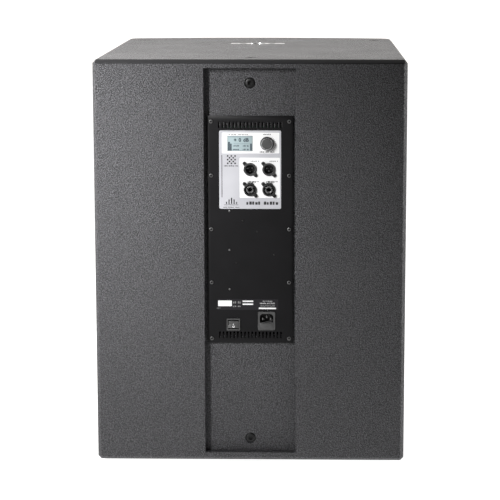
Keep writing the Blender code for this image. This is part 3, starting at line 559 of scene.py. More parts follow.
def spider_cloth():
    look = Look("spider_cloth", specular=0.2)
    weave = look.blend(look.bands(0.0009, "X"), look.bands(0.0009, "Z"), "ADD")
    look.colour(weave, (0.30, 0.20, 0.05), (0.62, 0.48, 0.18), 0.4, 1.6)
    look.rough(weave, 0.80, 0.95, 0.0, 2.0)
    return look.bump(weave, 0.0001, 0.6)


def copper_wire():
    look = Look("copper_wire", metallic=1.0)
    turns = look.bands(0.0004, "Y")
    look.colour(turns, (0.38, 0.12, 0.05), (0.72, 0.32, 0.16), 0.2, 0.8)
    look.rough(turns, 0.25, 0.45, 0.0, 1.0)
    return look.bump(turns, 0.0001, 0.8)


def circuit_board():
    look = Look("circuit_board")
    tracks = look.cells(0.006, "DISTANCE_TO_EDGE")
    look.colour(tracks, (0.014, 0.075, 0.032), (0.003, 0.028, 0.012), 0.03, 0.08)
    look.rough(tracks, 0.30, 0.45, 0.0, 0.1)
    return look.bump(tracks, 0.0001, 0.4)


def printed_film(name, dark, light):
    look = Look(name, specular=0.35)
    fine = look.noise(0.0009)
    look.colour(look.noise(0.05), dark, light)
    look.rough(fine, 0.37, 0.47)
    return look.bump(fine, 0.00002, 0.4)


def display_clear():
    look = Look("display_clear", roughness=0.12, specular=0.4, coat=0.4)
    pixels = look.cells(0.0006)
    look.colour(pixels, (0.34, 0.43, 0.45), (0.39, 0.48, 0.50), 0.1, 0.6)
    return look


def fuse_glass():
    look = Look("fuse_glass", roughness=0.05, coat=0.6)
    streaks = look.noise(0.004, 2.0, (0.2, 1, 1))
    look.colour(streaks, (0.55, 0.60, 0.60), (0.78, 0.82, 0.82))
    look.shader.inputs["Transmission Weight"].default_value = 0.6
    return look


VIOLET = (1.0, 0.93, 1.12)
PLATE_TONES = (grey(0.0032, VIOLET), grey(0.0048, VIOLET))
LOOKS = {
    "cabinet_paint": cabinet_paint(),
    "bare_plywood": bare_plywood(),
    "grille_steel": powder_coat("grille_steel", grey(0.010), grey(0.016), 0.45),
    "black_foam": foam(),
    "black_rubber": moulded("black_rubber", grey(0.010), grey(0.018), 0.78, 0.0009),
    "black_steel": powder_coat("black_steel", grey(0.010), grey(0.018), 0.42),
    "zinc_steel": metal("zinc_steel", grey(0.52), grey(0.70), 0.34, (1, 0.15, 1)),
    "cast_alloy": powder_coat("cast_alloy", grey(0.018), grey(0.030), 0.50),
    "cone_paper": cone_paper(),
    "spider_cloth": spider_cloth(),
    "copper_wire": copper_wire(),
    "ferrite": moulded("ferrite", grey(0.022), grey(0.040), 0.60, 0.0015),
    "black_plastic": moulded("black_plastic", grey(0.009), grey(0.014), 0.36),
    "plate_black": powder_coat("plate_black", *PLATE_TONES, 0.50, 0.24),
    "label_silver": printed_film("label_silver", (0.47, 0.47, 0.50), (0.53, 0.53, 0.56)),
    "display_clear": display_clear(),
    "circuit_board": circuit_board(),
    "grey_plastic": moulded("grey_plastic", grey(0.060), grey(0.080), 0.42),
    "fuse_glass": fuse_glass(),
    "aluminium": metal("aluminium", grey(0.55), grey(0.74), 0.30, (1, 1, 0.05)),
}
WHITE_PRINT = printed_film("white_print", grey(0.86), grey(0.92))
LIGHT_PRINT = printed_film("light_print", grey(0.42), grey(0.50))
GREY_PRINT = printed_film("grey_print", grey(0.17), grey(0.22))
DARK_PRINT = printed_film("dark_print", grey(0.022), grey(0.036))
PANEL_PRINT = printed_film("panel_print", grey(0.011, VIOLET), grey(0.014, VIOLET))
DISPLAY_BORDER = printed_film("display_border", (0.29, 0.35, 0.36), (0.33, 0.38, 0.40))
DISPLAY_INK = printed_film("display_ink", (0.020, 0.032, 0.045), (0.035, 0.050, 0.065))
CORE_PLASTIC = moulded("core_plastic", grey(0.10), grey(0.14), 0.22)
SCREW_BLACK = metal("screw_black", grey(0.035), grey(0.060), 0.42)
SCREW_GREY = metal("screw_grey", grey(0.17), grey(0.25), 0.42)
BOLT_STEEL = metal("bolt_steel", grey(0.030), grey(0.050), 0.46)
# Painted highlight for one side wall of the upper vent slots.
VENT_HIGHLIGHT_LOOK = metal("painted_vent_highlight", grey(0.16), grey(0.30), 0.45)
SOCKET_PLASTIC = moulded("socket_plastic", grey(0.044), grey(0.060), 0.36)
COMBO_PLASTIC = moulded("combo_plastic", grey(0.022), grey(0.032), 0.38)
DULL_METAL = metal("dull_metal", grey(0.22), grey(0.32), 0.42)
DARK_CHASSIS = metal("dark_chassis", grey(0.030), grey(0.050), 0.55)


# ======== pieces ========


def piece(name, bm, slot, body="cabinet", at=None, stands_for=(), look=None, weighted=False):
    """A shown object: bm placed by the matrix at, riding a body, with its finish and CAD nodes."""
    if at is not None:
        moved(bm, at)
    bmesh.ops.remove_doubles(bm, verts=bm.verts, dist=1e-7)
    bmesh.ops.recalc_face_normals(bm, faces=bm.faces)
    mesh = as_mesh(name, bm)
    mesh.shade_smooth()
    mesh.set_sharp_from_angle(angle=SHARP_ANGLE)
    obj = in_scene(name, mesh)
    if weighted:
        modifier = obj.modifiers.new("weighted", "WEIGHTED_NORMAL")
        modifier.keep_sharp = True
        depsgraph = bpy.context.evaluated_depsgraph_get()
        obj.data = bpy.data.meshes.new_from_object(obj.evaluated_get(depsgraph))
        obj.modifiers.clear()
    obj.data.materials.append((look or LOOKS[slot]).material)
    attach(obj, body)
    if stands_for:
        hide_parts(*stands_for)
    return obj


def finish_cad_nodes():
    """Every CAD node gets its slot's procedural material, shown or not."""
    for part in frame["record"]["subparts"]:
        node = frame["nodes"][part["node"]]
        node.data.materials.clear()
        node.data.materials.append(LOOKS[part["material_slot"]].material)


# ======== cabinet ========


def cabinet_shell():
    """The glued and painted box: chamfered outside, channelled back, open front and cavity."""
    outline = front_curve(0, REAR_Y, (12, 48))
    shell = prism(outline, BASE_Z, TOP_Z)

    def outer_edge(edge):
        halfway = (edge.verts[0].co + edge.verts[1].co) / 2
        level = abs(edge.verts[0].co.z - edge.verts[1].co.z) < TINY
        at_corner = abs(abs(halfway.x) - HALF_W) < TINY and abs(halfway.y - REAR_Y) < TINY
        return level or at_corner

    bevelled(shell, [edge for edge in shell.edges if outer_edge(edge)], CHAMFER)
    soften(shell, EDGE_ROUND, 2, math.radians(30))
    wide = HALF_W + CLEAR
    open_front = block((-wide, FRONT_Y - CLEAR, INNER_LOW), (wide, SIDE_FRONT_Y, INNER_HIGH))
    half = INNER_HALF_W
    cavity = block((-half, SIDE_FRONT_Y - CLEAR, INNER_LOW), (half, CAVITY_Y, INNER_HIGH))
    low = (-CHANNEL_HALF_W, CHANNEL_Y, INNER_LOW)
    channel = block(low, (CHANNEL_HALF_W, REAR_Y + CLEAR, INNER_HIGH))
    low = (-CUTOUT_HALF_W, CAVITY_Y - CLEAR, PLATE_LOW + CUTOUT_MARGIN)
    window = block(low, (CUTOUT_HALF_W, REAR_Y + CLEAR, PLATE_HIGH - CUTOUT_MARGIN))
    shell = carved(shell, [open_front, cavity, channel])

    def channel_rim(edge):
        flush = all(abs(v.co.y - REAR_Y) < TINY for v in edge.verts)
        inside = all(abs(v.co.x) < CHANNEL_HALF_W + TINY for v in edge.verts)
        return flush and inside

    bevelled(shell, [edge for edge in shell.edges if channel_rim(edge)], CHANNEL_ROUND, 3)
    cutters = [window, *pole_pocket(), *handle_pockets()]
    cutters += [moved(bolt_hole(), place) for place in bolt_places().values()]
    shell = carved(shell, cutters)
    panels = ["top_panel", "bottom_panel", "rear_panel"]
    for part in ("side_panel", "rear_board"):
        panels += [part + "_left", part + "_right"]
    piece("cabinet_shell", shell, "cabinet_paint", stands_for=panels, weighted=True)


def pole_outline(grow=0.0):
    """Round hub, two narrow necks and two square-ended wings, as seen from above."""
    hub = 0.0250 + grow
    neck = 0.0070 + grow
    lean = math.asin(neck / hub)
    wing = 0.0150 + grow
    inner = 0.0330 - grow
    tip = 0.0525 + grow
    lower = [(inner, -neck), (inner + 0.002, -wing), (tip, -wing)]
    right = lower + [(u, -v) for u, v in lower[::-1]]
    left = [(-u, -v) for u, v in right]
    over = arc((0, 0), hub, lean, math.pi - lean, 24)
    under = arc((0, 0), hub, math.pi + lean, math.tau - lean, 24)
    return [*right, *over, *left, *under]


def pole_place():
    return shift(0, middle("pole_mount")[1], TOP_Z)


def pole_pocket():
    pocket = moved(prism(pole_outline(GAP), -0.0033, CLEAR), pole_place())
    hole = moved(rod((0, 0), 0.0206, -0.05, -0.001, 64), pole_place())
    return [pocket, hole]


def pole_mount():
    """Plated flange with a rounded rim, its blackened tube and two countersunk screws."""
    flange = prism(pole_outline(), -0.0030, -0.0003, 0.0005)
    end = -0.0050
    bore = POLE_BORE_R
    eased = bore + 0.0005
    mouth = [(0, CLEAR), (eased, CLEAR), (eased, -0.0004), (bore, -0.0020), (bore, end), (0, end)]
    sink = [(0, CLEAR), (0.0046, CLEAR), (0.0046, -0.0003), (0.0020, -0.0026), (0.0020, end), (0, end)]
    spots = ((-POLE_SCREW_U, 0), (POLE_SCREW_U, 0))
    sinks = [moved(lathe(sink, 32, closed=False), shift(*spot)) for spot in spots]
    heads = screw_heads(spots, 0.0040, 0.0006, -0.0012)
    flange = carved(flange, [lathe(mouth, 64, closed=False), *sinks])
    place = pole_place()
    piece("pole_socket_flange", flange, "zinc_steel", at=place, stands_for=["pole_mount"], weighted=True)
    tube = [(bore, -0.0850), (POLE_TUBE_R, -0.0850), (POLE_TUBE_R, -0.0031), (bore, -0.0031)]
    piece("pole_socket_tube", lathe(tube, 64), "black_steel", at=place)
    piece("pole_socket_screws", heads, "zinc_steel", at=place, look=DULL_METAL)


def bolt_places():
    """Frame of each rigging bolt: +Z out of the cabinet, 0 on the surface."""
    places = {}
    for name in frame["nodes"]:
        x, y, z = middle(name)
        if name.startswith("top_rigging_bolt"):
            places[name] = shift(x, y, TOP_Z)
        if name.startswith("rear_rigging_bolt"):
            places[name] = shift(x, CHANNEL_Y, z) @ Matrix.Rotation(-math.pi / 2, 4, "X")
    return places


def bolt_hole():
    shank = BOLT_SHANK_R + 0.00045
    profile = [(0, CLEAR), (BOLT_HOLE_R, CLEAR), (BOLT_HOLE_R, -0.0008), (shank, -0.0055)]
    return lathe([*profile, (shank, -0.040), (0, -0.040)], 48, closed=False)


def rigging_bolts():
    """Countersunk bolts with a hexagonal socket."""
    for name, place in bolt_places().items():
        head = [(0, -0.0001), (0.0070, -0.0001), (0.0082, -0.0008), (BOLT_R, -0.0024)]
        shank = [(BOLT_SHANK_R, -0.0060), (BOLT_SHANK_R, -0.0300), (0, -0.0300)]
        solid = lathe(head + shank, 64, closed=False)
        socket = prism(circle((0, 0), 0.0040, 6), -0.0045, CLEAR)
        ease = lathe([(0, 0.01), (0.0110, 0.01), (0.0036, -0.0006), (0, -0.0006)], 32, closed=False)
        bolt = carved(solid, [socket, ease])
        piece(f"{name}_head", bolt, "black_steel", at=place, stands_for=[name], look=BOLT_STEEL)


def handle_sizes():
    low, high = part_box("handle_left")
    flange = (high.y - low.y, high.z - low.z)
    return flange, (flange[0] - 0.032, flange[1] - 0.032), high.x - low.x


def handle_pockets():
    flange, opening, _ = handle_sizes()
    cutters = []
    for side in (1, -1):
        rows = ((flange, HANDLE_CORNER, HANDLE_WALL + GAP), (opening, HANDLE_OPENING_CORNER, 0.030))
        for size, radius, depth in rows:
            grown = (size[0] + 2 * GAP, size[1] + 2 * GAP)
            outline = rounded_rectangle((0, 0), grown, radius + GAP)
            cutters.append(moved(prism(outline, -depth, CLEAR), on_side(side)))
    return cutters


def handles():
    """Recessed handles: pressed flange and cup, ribbed grip, and a screw at each corner."""
    flange, opening, depth = handle_sizes()
    wall = HANDLE_WALL
    for name, side in (("handle_left", 1), ("handle_right", -1)):
        place = on_side(side)
        shell = prism(rounded_rectangle((0, 0), flange, HANDLE_CORNER, 10), -wall, 0, 0.0007)
        outline = rounded_rectangle((0, 0), opening, HANDLE_OPENING_CORNER)
        cup = prism(outline, -depth, -wall / 2, 0.0015, 3)
        inside = (opening[0] - 2 * wall, opening[1] - 2 * wall)
        hollow = prism(rounded_rectangle((0, 0), inside, 0.006), wall - depth, CLEAR)
        shell = carved(carved(shell, [cup], "UNION"), [hollow])
        piece(name + "_cup", shell, "black_steel", at=place, stands_for=[name], weighted=True)
        reach = opening[0] / 2 - wall
        ribbed = reach * 0.92
        half = ribbed / HANDLE_RIBS
        profile = [(0, -reach), (0.0122, -reach)]
        for rib in range(HANDLE_RIBS):
            along = ribbed * (2 * (rib + 0.5) / HANDLE_RIBS - 1)
            profile += [(0.0116, along - half * 0.8), (0.0125, along - half * 0.4)]
            profile += [(0.0125, along + half * 0.4), (0.0116, along + half * 0.8)]
        profile += [(0.0122, reach), (0, reach)]
        grip = moved(lathe(profile, 48, closed=False), Matrix.Rotation(math.pi / 2, 4, "Y"))
        grip_place = place @ shift(0, 0.030, -0.0175)
        piece(name + "_grip", grip, "black_rubber", at=grip_place)
        u, v = flange[0] / 2 - 0.010, flange[1] / 2 - 0.010
        heads = screw_heads(((u, v), (u, -v), (-u, v), (-u, -v)), 0.0036, 0.0014, -0.0016)
        piece(name + "_screws", heads, "black_steel", at=place, look=SCREW_BLACK)


def feet():
    """Turned rubber feet with a screw sunk in each."""
    for name in ("foot_front_left", "foot_front_right", "foot_rear_left", "foot_rear_right"):
        x, y, _ = middle(name)
        place = shift(x, y)
        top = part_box(name)[1].z
        profile = [(0, top), (0.0200, top), (0.0196, 0.0062), (0.0180, 0.0012), (0.0168, 0)]
        profile += [(0.0070, 0), (0.0060, 0.0012), (0.0060, 0.0045), (0, 0.0045)]
        pad = lathe(fillet(profile, 0.0006, 3, False), 72, False)
        piece(name + "_rubber", pad, "black_rubber", at=place, stands_for=[name])
        sunk = place @ shift(0, 0, 0.0044) @ Matrix.Rotation(math.pi, 4, "X")
        piece(name + "_screw", screw_head(0.0050, 0.0020), "zinc_steel", at=sunk)


def screw_heads(spots, radius, height, w=0.0):
    """Domed cross-slot heads at (u, v) spots, standing at height w, as one bmesh."""
    return joined([moved(screw_head(radius, height), shift(u, v, w)) for u, v in spots])


def screw_head(radius, height):
    """Domed head with a cross slot, standing on z = 0."""
    profile = [(0, -0.0006), (radius * 0.98, -0.0006), (radius, height * 0.25)]
    profile += [(radius * 0.86, height * 0.72), (radius * 0.55, height * 0.95), (0, height)]
    head = lathe(profile, 40, closed=False)
    arm = radius * 0.52
    slot = radius * 0.13
    depth = height * 0.35
    across = block((-arm, -slot, depth), (arm, slot, height + 0.002))
    along = block((-slot, -arm, depth), (slot, arm, height + 0.002))
    return carved(head, [across, along])


# ======== grille and foam ========


def grille_path(inset):
    """Function from a distance along the grille's outer face to a point, and the whole length."""
    points = [Vector((x, y, 0)) for x, y in front_curve(inset, SIDE_FRONT_Y - GAP, (16, 90))]
    lengths = [0.0]
    for first, second in zip(points, points[1:]):
        lengths.append(lengths[-1] + (second - first).length)

    def at(distance):
        k = 0
        while k < len(points) - 2 and lengths[k + 1] < distance:
            k += 1
        run = points[k + 1] - points[k]
        share = (distance - lengths[k]) / (lengths[k + 1] - lengths[k])
        return points[k] + run * min(max(share, 0.0), 1.0)

    return at, lengths[-1]


def grille_sheet():
    """Steel sheet with staggered six-sided holes, in one piece between its borders."""
    at, length = grille_path(GRILLE_INSET)
    corner_r = GRILLE_PITCH / math.sqrt(3)
    row_pitch = GRILLE_PITCH * math.sqrt(3) / 2
    margin = GRILLE_BORDER * 0.4
    columns = int((length - 2 * margin) / GRILLE_PITCH - 0.5)
    rows = int((INNER_HIGH - INNER_LOW - 2 * margin - corner_r) / row_pitch)
    start_s = (length - (columns - 0.5) * GRILLE_PITCH) / 2
    start_z = (INNER_HIGH + INNER_LOW - (rows - 1) * row_pitch) / 2
    bm = bmesh.new()
    shared = {}

    def vertex(s, z):
        key = (round(s * 20000), round(z * 20000))
        if key not in shared:
            place = at(s)
            shared[key] = bm.verts.new((place.x, place.y, z))
        return shared[key]

    for row in range(rows):
        z = start_z + row * row_pitch
        for column in range(columns):
            s = start_s + (column + 0.5 * (row % 2)) * GRILLE_PITCH
            rims = []
            for radius in (corner_r, GRILLE_HOLE_R):
                turns = [math.radians(30 + 60 * i) for i in range(6)]
                rims.append([vertex(s + radius * math.cos(a), z + radius * math.sin(a)) for a in turns])
            for i in range(6):
                j = (i + 1) % 6
                bm.faces.new((rims[0][i], rims[0][j], rims[1][j], rims[1][i]))
    bmesh.ops.recalc_face_normals(bm, faces=bm.faces)
    if sum(face.normal.y for face in bm.faces) > 0:
        bmesh.ops.reverse_faces(bm, faces=bm.faces)
    bmesh.ops.solidify(bm, geom=bm.faces[:], thickness=GRILLE_THICK)
    piece("grille_sheet", bm, "grille_steel", stands_for=["front_grille"])


def curved_sheet(inset, thickness, low, high, end_y):
    outer = front_curve(inset, end_y, (16, 72))
    inner = front_curve(inset + thickness, end_y, (16, 72))
    return prism(outer + inner[::-1], low, high)


def grille_border():
    """Plain folded edge all round the perforated sheet."""
    low = INNER_LOW + GAP
    high = INNER_HIGH - GAP
    sheet = curved_sheet(GRILLE_INSET - 0.0006, GRILLE_THICK + 0.0016, low, high, SIDE_FRONT_Y - GAP)
    edge = GRILLE_BORDER
    window = block((-1, -1, low + edge), (1, SIDE_FRONT_Y - edge, high - edge))
    piece("grille_border", carved(sheet, [window]), "grille_steel")


def grille_foam():
    """Open-cell foam pressed to the back of the grille, slightly wavy."""
    inset = GRILLE_INSET + GRILLE_THICK + GAP
    thickness = 0.006
    end_y = SIDE_FRONT_Y - GAP
    outer = front_curve(inset, end_y, (8, 60))
    inner = front_curve(inset + thickness, end_y, (8, 60))
    levels = 60
    low = INNER_LOW + GAP
    step = (INNER_HIGH - INNER_LOW - 2 * GAP) / levels
    loop = outer + inner[::-1]
    bm = bmesh.new()
    rings = []
    for level in range(levels + 1):
        ring = []
        for number, (x, y) in enumerate(loop):
            z = low + level * step
            wave = noise.noise(Vector((x * 30, y * 30, z * 30)))
            inward = 0.0006 * (1 + wave) if number < len(outer) else 0.0
            ring.append(bm.verts.new((x, y + inward, z)))
        rings.append(ring)
    count = len(loop)
    for first, second in zip(rings, rings[1:]):
        for i in range(count):
            j = (i + 1) % count
            bm.faces.new((first[i], first[j], second[j], second[i]))
    bm.faces.new(rings[0])
    bm.faces.new(rings[-1])
    foam_piece = piece("grille_foam_sheet", bm, "black_foam", stands_for=["grille_foam"])


# ======== woofer ========


def roll(inner, outer, height, seat, steps):
    """Half-round roll between two radii, standing on the height seat."""
    crest = (inner + outer) / 2
    half = (outer - inner) / 2
    angles = [math.pi * i / steps for i in range(steps + 1)]
    return [(crest - half * math.cos(a), seat + height * math.sin(a)) for a in angles]


def woofer_basket():
    profile = [
        (0.2300, 0.0023), (0.2300, 0.0063), (0.1990, 0.0063), (0.1990, -0.0040),
        (0.1120, -0.1040), (0.1040, -0.1040), (0.1040, -0.1060), (0.0920, -0.1060),
        (0.0920, -0.1160), (0.0600, -0.1160), (0.0600, -0.1270), (0.1120, -0.1270),
        (0.2090, -0.0070), (0.2090, 0.0023),
    ]  # fmt: skip
    basket = lathe(fillet(profile, 0.0012, 2), 96)
    windows = []
    for number in range(6):
        window = block((0.118, -0.046, -0.0920), (0.260, 0.046, -0.0220), 0.008, 3)
        windows.append(moved(window, Matrix.Rotation(number * math.tau / 6, 4, "Z")))
    spots = circle((0, 0), BASKET_SCREW_R, 16)[1::2]
    holes = [rod(spot, 0.0032, -0.01, 0.02, 16) for spot in spots]
    basket = carved(basket, [joined(windows), joined(holes)])
    place = on_woofer()
    piece("basket_casting", basket, "cast_alloy", at=place, stands_for=["woofer_basket"], weighted=True)
    heads = screw_heads(spots, 0.0046, 0.0026, 0.0063)
    piece("basket_screws", heads, "black_steel", at=place, look=SCREW_BLACK)


def woofer():
    """The driver's turned pieces. Each row: piece, CAD node, slot, body, corner radius, profile."""
    seat = 0.0066
    skin = 0.0012
    steps = 14
    surround = [(0.1720, seat), (0.1720, seat + skin)]
    surround += roll(0.1805, 0.1970, 0.0090, seat + skin, steps)
    surround += [(0.2050, seat + skin), (0.2050, seat)]
    surround += roll(0.1817, 0.1958, 0.0078, seat, steps)[::-1]
    bow = 0.1500
    lean = math.asin(0.0740 / bow)
    base = -0.0625 - bow * math.cos(lean)
    dome = [(r, h + base) for h, r in arc((0, 0), bow, 0, lean, 12)]
    dome += [(max(r - 0.0008, 0.0), h - 0.0016) for r, h in dome[::-1]]
    waves = 40
    width = 0.1030 - 0.0520
    spider = []
    for i in range(waves + 1):
        height = -0.1042 + 0.00125 * (1 - math.cos(math.tau * i / 8))
        spider.append((0.0520 + width * i / waves, height))
    spider += [(r, h - 0.0014) for r, h in spider[::-1]]
    cone = [(0.1790, 0.0046), (0.1790, 0.0063), (0.1700, 0.0063), (0.0520, -0.0836)]
    cone += [(0.0520, -0.0860), (0.0540, -0.0860), (0.1710, 0.0046)]
    coil = [(0.0497, -0.1463), (0.0515, -0.1463), (0.0515, -0.0800), (0.0497, -0.0800)]
    gasket = [(0.2140, GAP), (0.2300, GAP), (0.2300, 0.0020), (0.2140, 0.0020)]
    front = [(0.0525, -0.1273), (0.1000, -0.1273), (0.1000, -0.1393), (0.0525, -0.1393)]
    magnet = [(0.0580, -0.1396), (0.1100, -0.1396), (0.1100, -0.1646), (0.0580, -0.1646)]
    pole = [(0.0150, -0.1290), (0.0488, -0.1290), (0.0488, -0.1649), (0.1000, -0.1649)]
    pole += [(0.1000, -0.1749), (0.0150, -0.1749)]
    rows = (
        ("surround_roll", "woofer_surround", "black_rubber", "cabinet", 0.0, surround, True),
        ("dust_cap_dome", "woofer_dust_cap", "cone_paper", "woofer_moving", 0.0, dome, False),
        ("spider_waves", "woofer_spider", "spider_cloth", "cabinet", 0.0, spider, True),
        ("cone_body", "woofer_cone", "cone_paper", "woofer_moving", 0.0010, cone, True),
        ("voice_coil_former", "woofer_voice_coil", "copper_wire", "woofer_moving", 0.0003, coil, True),
        ("basket_gasket", "woofer_gasket", "black_foam", "cabinet", 0.0005, gasket, True),
        ("motor_top_plate", "woofer_top_plate", "zinc_steel", "cabinet", 0.0010, front, True),
        ("motor_magnet", "woofer_magnet", "ferrite", "cabinet", 0.0020, magnet, True),
        ("motor_back_plate", "woofer_back_plate", "zinc_steel", "cabinet", 0.0012, pole, True),
    )
    for name, node, slot, body, radius, profile, closed in rows:
        if radius:
            profile = fillet(profile, radius, 3, closed)
        solid = lathe(profile, 96, closed)
        piece(name, solid, slot, body, on_woofer(), [node])


# ======== amplifier plate ========


def screw_spots():
    return [(side * PLATE_SCREW_U, v) for v in PLATE_SCREW_V for side in (-1, 1)]


def panel_openings(clearance, low, high):
    """Openings that the plate and the label share: display, knob and sockets."""
    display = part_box("lcd_window")
    corner = (-display[1].x - clearance, display[0].z - clearance, low)
    openings = [block(corner, (-display[0].x + clearance, display[1].z + clearance, high))]
    openings.append(rod(centre_uv("encoder_knob"), 0.0035 + clearance, low, high))
    for node in OUTPUTS + INPUTS:
        openings.append(rod(centre_uv(node), BARREL_R + clearance, low, high, 64))
    return openings


def amp_plate():
    """Powder-coated plate with every opening, and grey metal strips down one side of its upper vent slots
    as a painted highlight of the lit slot walls.
    """
    low, high = -CLEAR, CLEAR
    plate = block((-PLATE_HALF_W, PLATE_LOW, -PLATE_THICK), (PLATE_HALF_W, PLATE_HIGH, 0), 0.0005)
    openings = panel_openings(GAP, low, high)
    openings += [rod(spot, 0.0019, low, high, 24) for spot in screw_spots()]
    slots = [rounded_rectangle((u, v), VENT_SIZE, 0.0010, 3) for v in VENT_V for u in VENT_U]
    openings += [prism(slot, low, high) for slot in slots]
    for node, half in (("switch_housing", (0.0108, 0.0094)), ("iec_inlet", (0.0138, 0.0150))):
        u, v = centre_uv(node)
        corner = (u - half[0], v - half[1], low)
        openings.append(block(corner, (u + half[0], v + half[1], high)))
    plate = carved(plate, [joined(openings)])
    piece("amplifier_plate", plate, "plate_black", at=on_plate(), stands_for=["amp_plate"])
    # Painted highlight: a grey metal strip down one side of each upper vent slot, where the slot wall is
    # lit.
    v = VENT_V[0]
    half = VENT_SIZE[1] / 2 - 0.0012
    edges = []
    for slot_u in VENT_U:
        u = slot_u + VENT_SIZE[0] / 2
        edges.append(block((u - 0.0005, v - half, -0.0017), (u + 0.0001, v + half, -0.0002)))
    piece("vent_painted_highlights", joined(edges), "plate_black", at=on_plate(), look=VENT_HIGHLIGHT_LOOK)


def plate_screws():
    """Ten dark machine screws with black six-sided discs in their recesses as painted shade, plus small
    fixings of the boards behind the plate.
    """
    heads = [moved(ring_screw(0.0034, 0.0015), shift(*spot)) for spot in screw_spots()]
    piece("plate_screws", joined(heads), "black_steel", at=on_plate(), look=SCREW_GREY)
    # Painted shade: black six-sided discs at the bottom of the screw recesses.
    recess_shade_discs = [rod(spot, 0.0018, -0.0007, -0.0004, 6) for spot in screw_spots()]
    piece("plate_screw_recess_shade", joined(recess_shade_discs), "black_steel", at=on_plate(), look=LOOKS["plate_black"])
    bright = ((-0.0364, 0.4540), (-0.0364, 0.3856), (-0.0364, 0.3160))
    heads = screw_heads(bright, 0.0018, 0.0008)
    piece("board_screws_bright", heads, "zinc_steel", at=on_plate(), look=DULL_METAL)
    dark = ((-0.013, 0.437), (0.012, 0.418), (-0.0247, 0.363), (0.0417, 0.377))
    heads = screw_heads(dark, 0.0018, 0.0006)
    piece("board_screws_black", heads, "black_steel", at=on_plate(), look=SCREW_BLACK)


def ring_screw(radius, height):
    """Rounded head with a deep six-sided recess."""
    profile = [(0, -0.0012), (radius, -0.0012), (radius, height * 0.45)]
    profile += [(radius * 0.88, height * 0.9), (radius * 0.76, height), (0, height)]
    head = lathe(fillet(profile, 0.0004, 2, False), 40, closed=False)
    recess = prism(circle((0, 0), radius * 0.56, 6), -0.0006, height + 0.002)
    return carved(head, [recess])


# ======== label ========


def bar(low, high, level, radius=0.0):
    """A printed patch between two (u, v) corners, one print layer thick."""
    size = (high[0] - low[0], high[1] - low[1])
    centre = ((low[0] + high[0]) / 2, (low[1] + high[1]) / 2)
    radius = min(radius or min(size) * 0.2, min(size) * 0.49)
    outline = rounded_rectangle(centre, size, radius, 4)
    return prism(outline, level, level + PRINT)


def captions(rows, level):
    return [mark for row in rows for mark in caption(*row, level)]


def caption(start, end, v, height, words, level):
    """A line of small marks grouped like words, where the real panel carries wording."""
    marks = sum(words)
    gaps = len(words) - 1
    unit = (end - start) / (marks + gaps * 0.9)
    u = start
    parts = []
    for word, count in enumerate(words):
        for mark in range(count):
            width = unit * (0.62 + 0.2 * ((mark + word) % 2))
            tall = height * (1.0 if (mark * 2 + word) % 3 else 0.8)
            parts.append(bar((u, v - height / 2), (u + width, v - height / 2 + tall), level))
            u += unit
        u += unit * 0.9
    return parts


def label():
    """Silver film with white fields, and marks in place of its wording."""
    outline = rounded_rectangle(centre_uv("label_panel"), size_uv("label_panel"), 0.0025, 8)
    film = carved(prism(outline, GAP, LABEL_FACE), [joined(panel_openings(GAP, -CLEAR, CLEAR))])
    piece("label_film", film, "label_silver", at=on_plate(), stands_for=["label_panel"])
    level = LABEL_FACE + PRINT / 2
    fields = [bar((-0.0485, 0.5548), (0.0505, 0.5908), level, 0.0015)]
    fields.append(bar((-0.0182, 0.4773), (0.0515, 0.5474), level, 0.0015))
    fields = carved(joined(fields), [joined(panel_openings(GAP, -CLEAR, CLEAR))])
    piece("label_white_fields", fields, "label_silver", at=on_plate(), look=WHITE_PRINT)
    level += 1.5 * PRINT
    rows = ((-0.0387, -0.0029, 0.5877, 0.0019, (2, 4, 8)), (0.0224, 0.0361, 0.5878, 0.0019, (6,)))
    faint = captions(rows, level)
    for node in OUTPUTS:
        u, v = centre_uv(node)
        faint += caption(u + 0.0010, u + 0.0158, v + 0.0143, 0.0017, (6, 1), level)
        faint += caption(u + 0.0104, u + 0.0158, v - 0.0213, 0.0017, (3,), level)
    faint += knob_ticks(level)
    piece("label_grey_marks", joined(faint), "label_silver", at=on_plate(), look=GREY_PRINT)
    rows = ((0.0166, 0.0419, 0.5573, 0.0024, (5, 4, 4)), (-0.0451, -0.0203, 0.5330, 0.0019, (4, 6, 3)))
    dark = captions(rows, level)
    for node in INPUTS:
        u, v = centre_uv(node)
        dark += caption(u - 0.0042, u + 0.0100, v + 0.0139, 0.0030, (6,), level)
    dark.append(bar((-0.0493, 0.4781), (-0.0482, 0.5520), level))
    rows = ((-0.0467, -0.0187, 0.4607, 0.0014, (4, 6, 4)), (-0.0066, 0.0493, 0.4681, 0.0056, (5, 5)))
    dark += captions(rows, level)
    dark += badge(level)
    dark += block_pattern(level)
    piece("label_dark_marks", joined(dark), "label_silver", at=on_plate(), look=DARK_PRINT)


def block_pattern(level):
    """A plain chequered patch."""
    parts = []
    pitch = 0.0032
    for row in range(5):
        for column in range(5):
            if (row + column) % 2 == 0:
                corner = (-0.0401 + column * pitch, 0.5361 + row * pitch)
                parts.append(bar(corner, (corner[0] + pitch * 0.86, corner[1] + pitch * 0.86), level))
    return parts


def badge(level):
    """A made-up mark: five level bars over a base line."""
    parts = [bar((-0.0450, 0.4645), (-0.0205, 0.4653), level)]
    for number, tall in enumerate((0.004, 0.008, 0.011, 0.008, 0.004)):
        u = -0.0420 + number * 0.0044
        parts.append(bar((u, 0.4664), (u + 0.0018, 0.4664 + tall), level))
    return parts


def knob_ticks(level):
    """Ticks that grow longer round the right side of the knob."""
    centre = centre_uv("encoder_knob")
    parts = []
    for number in range(9):
        turn = math.radians(-52 + 13 * number)
        long = 0.0010 + 0.0002 * (8 - number)
        tick = block((0.0131, -0.00035, level), (0.0131 + long, 0.00035, level + PRINT))
        place = shift(*centre) @ Matrix.Rotation(turn, 4, "Z")
        parts.append(moved(tick, place))
    return parts


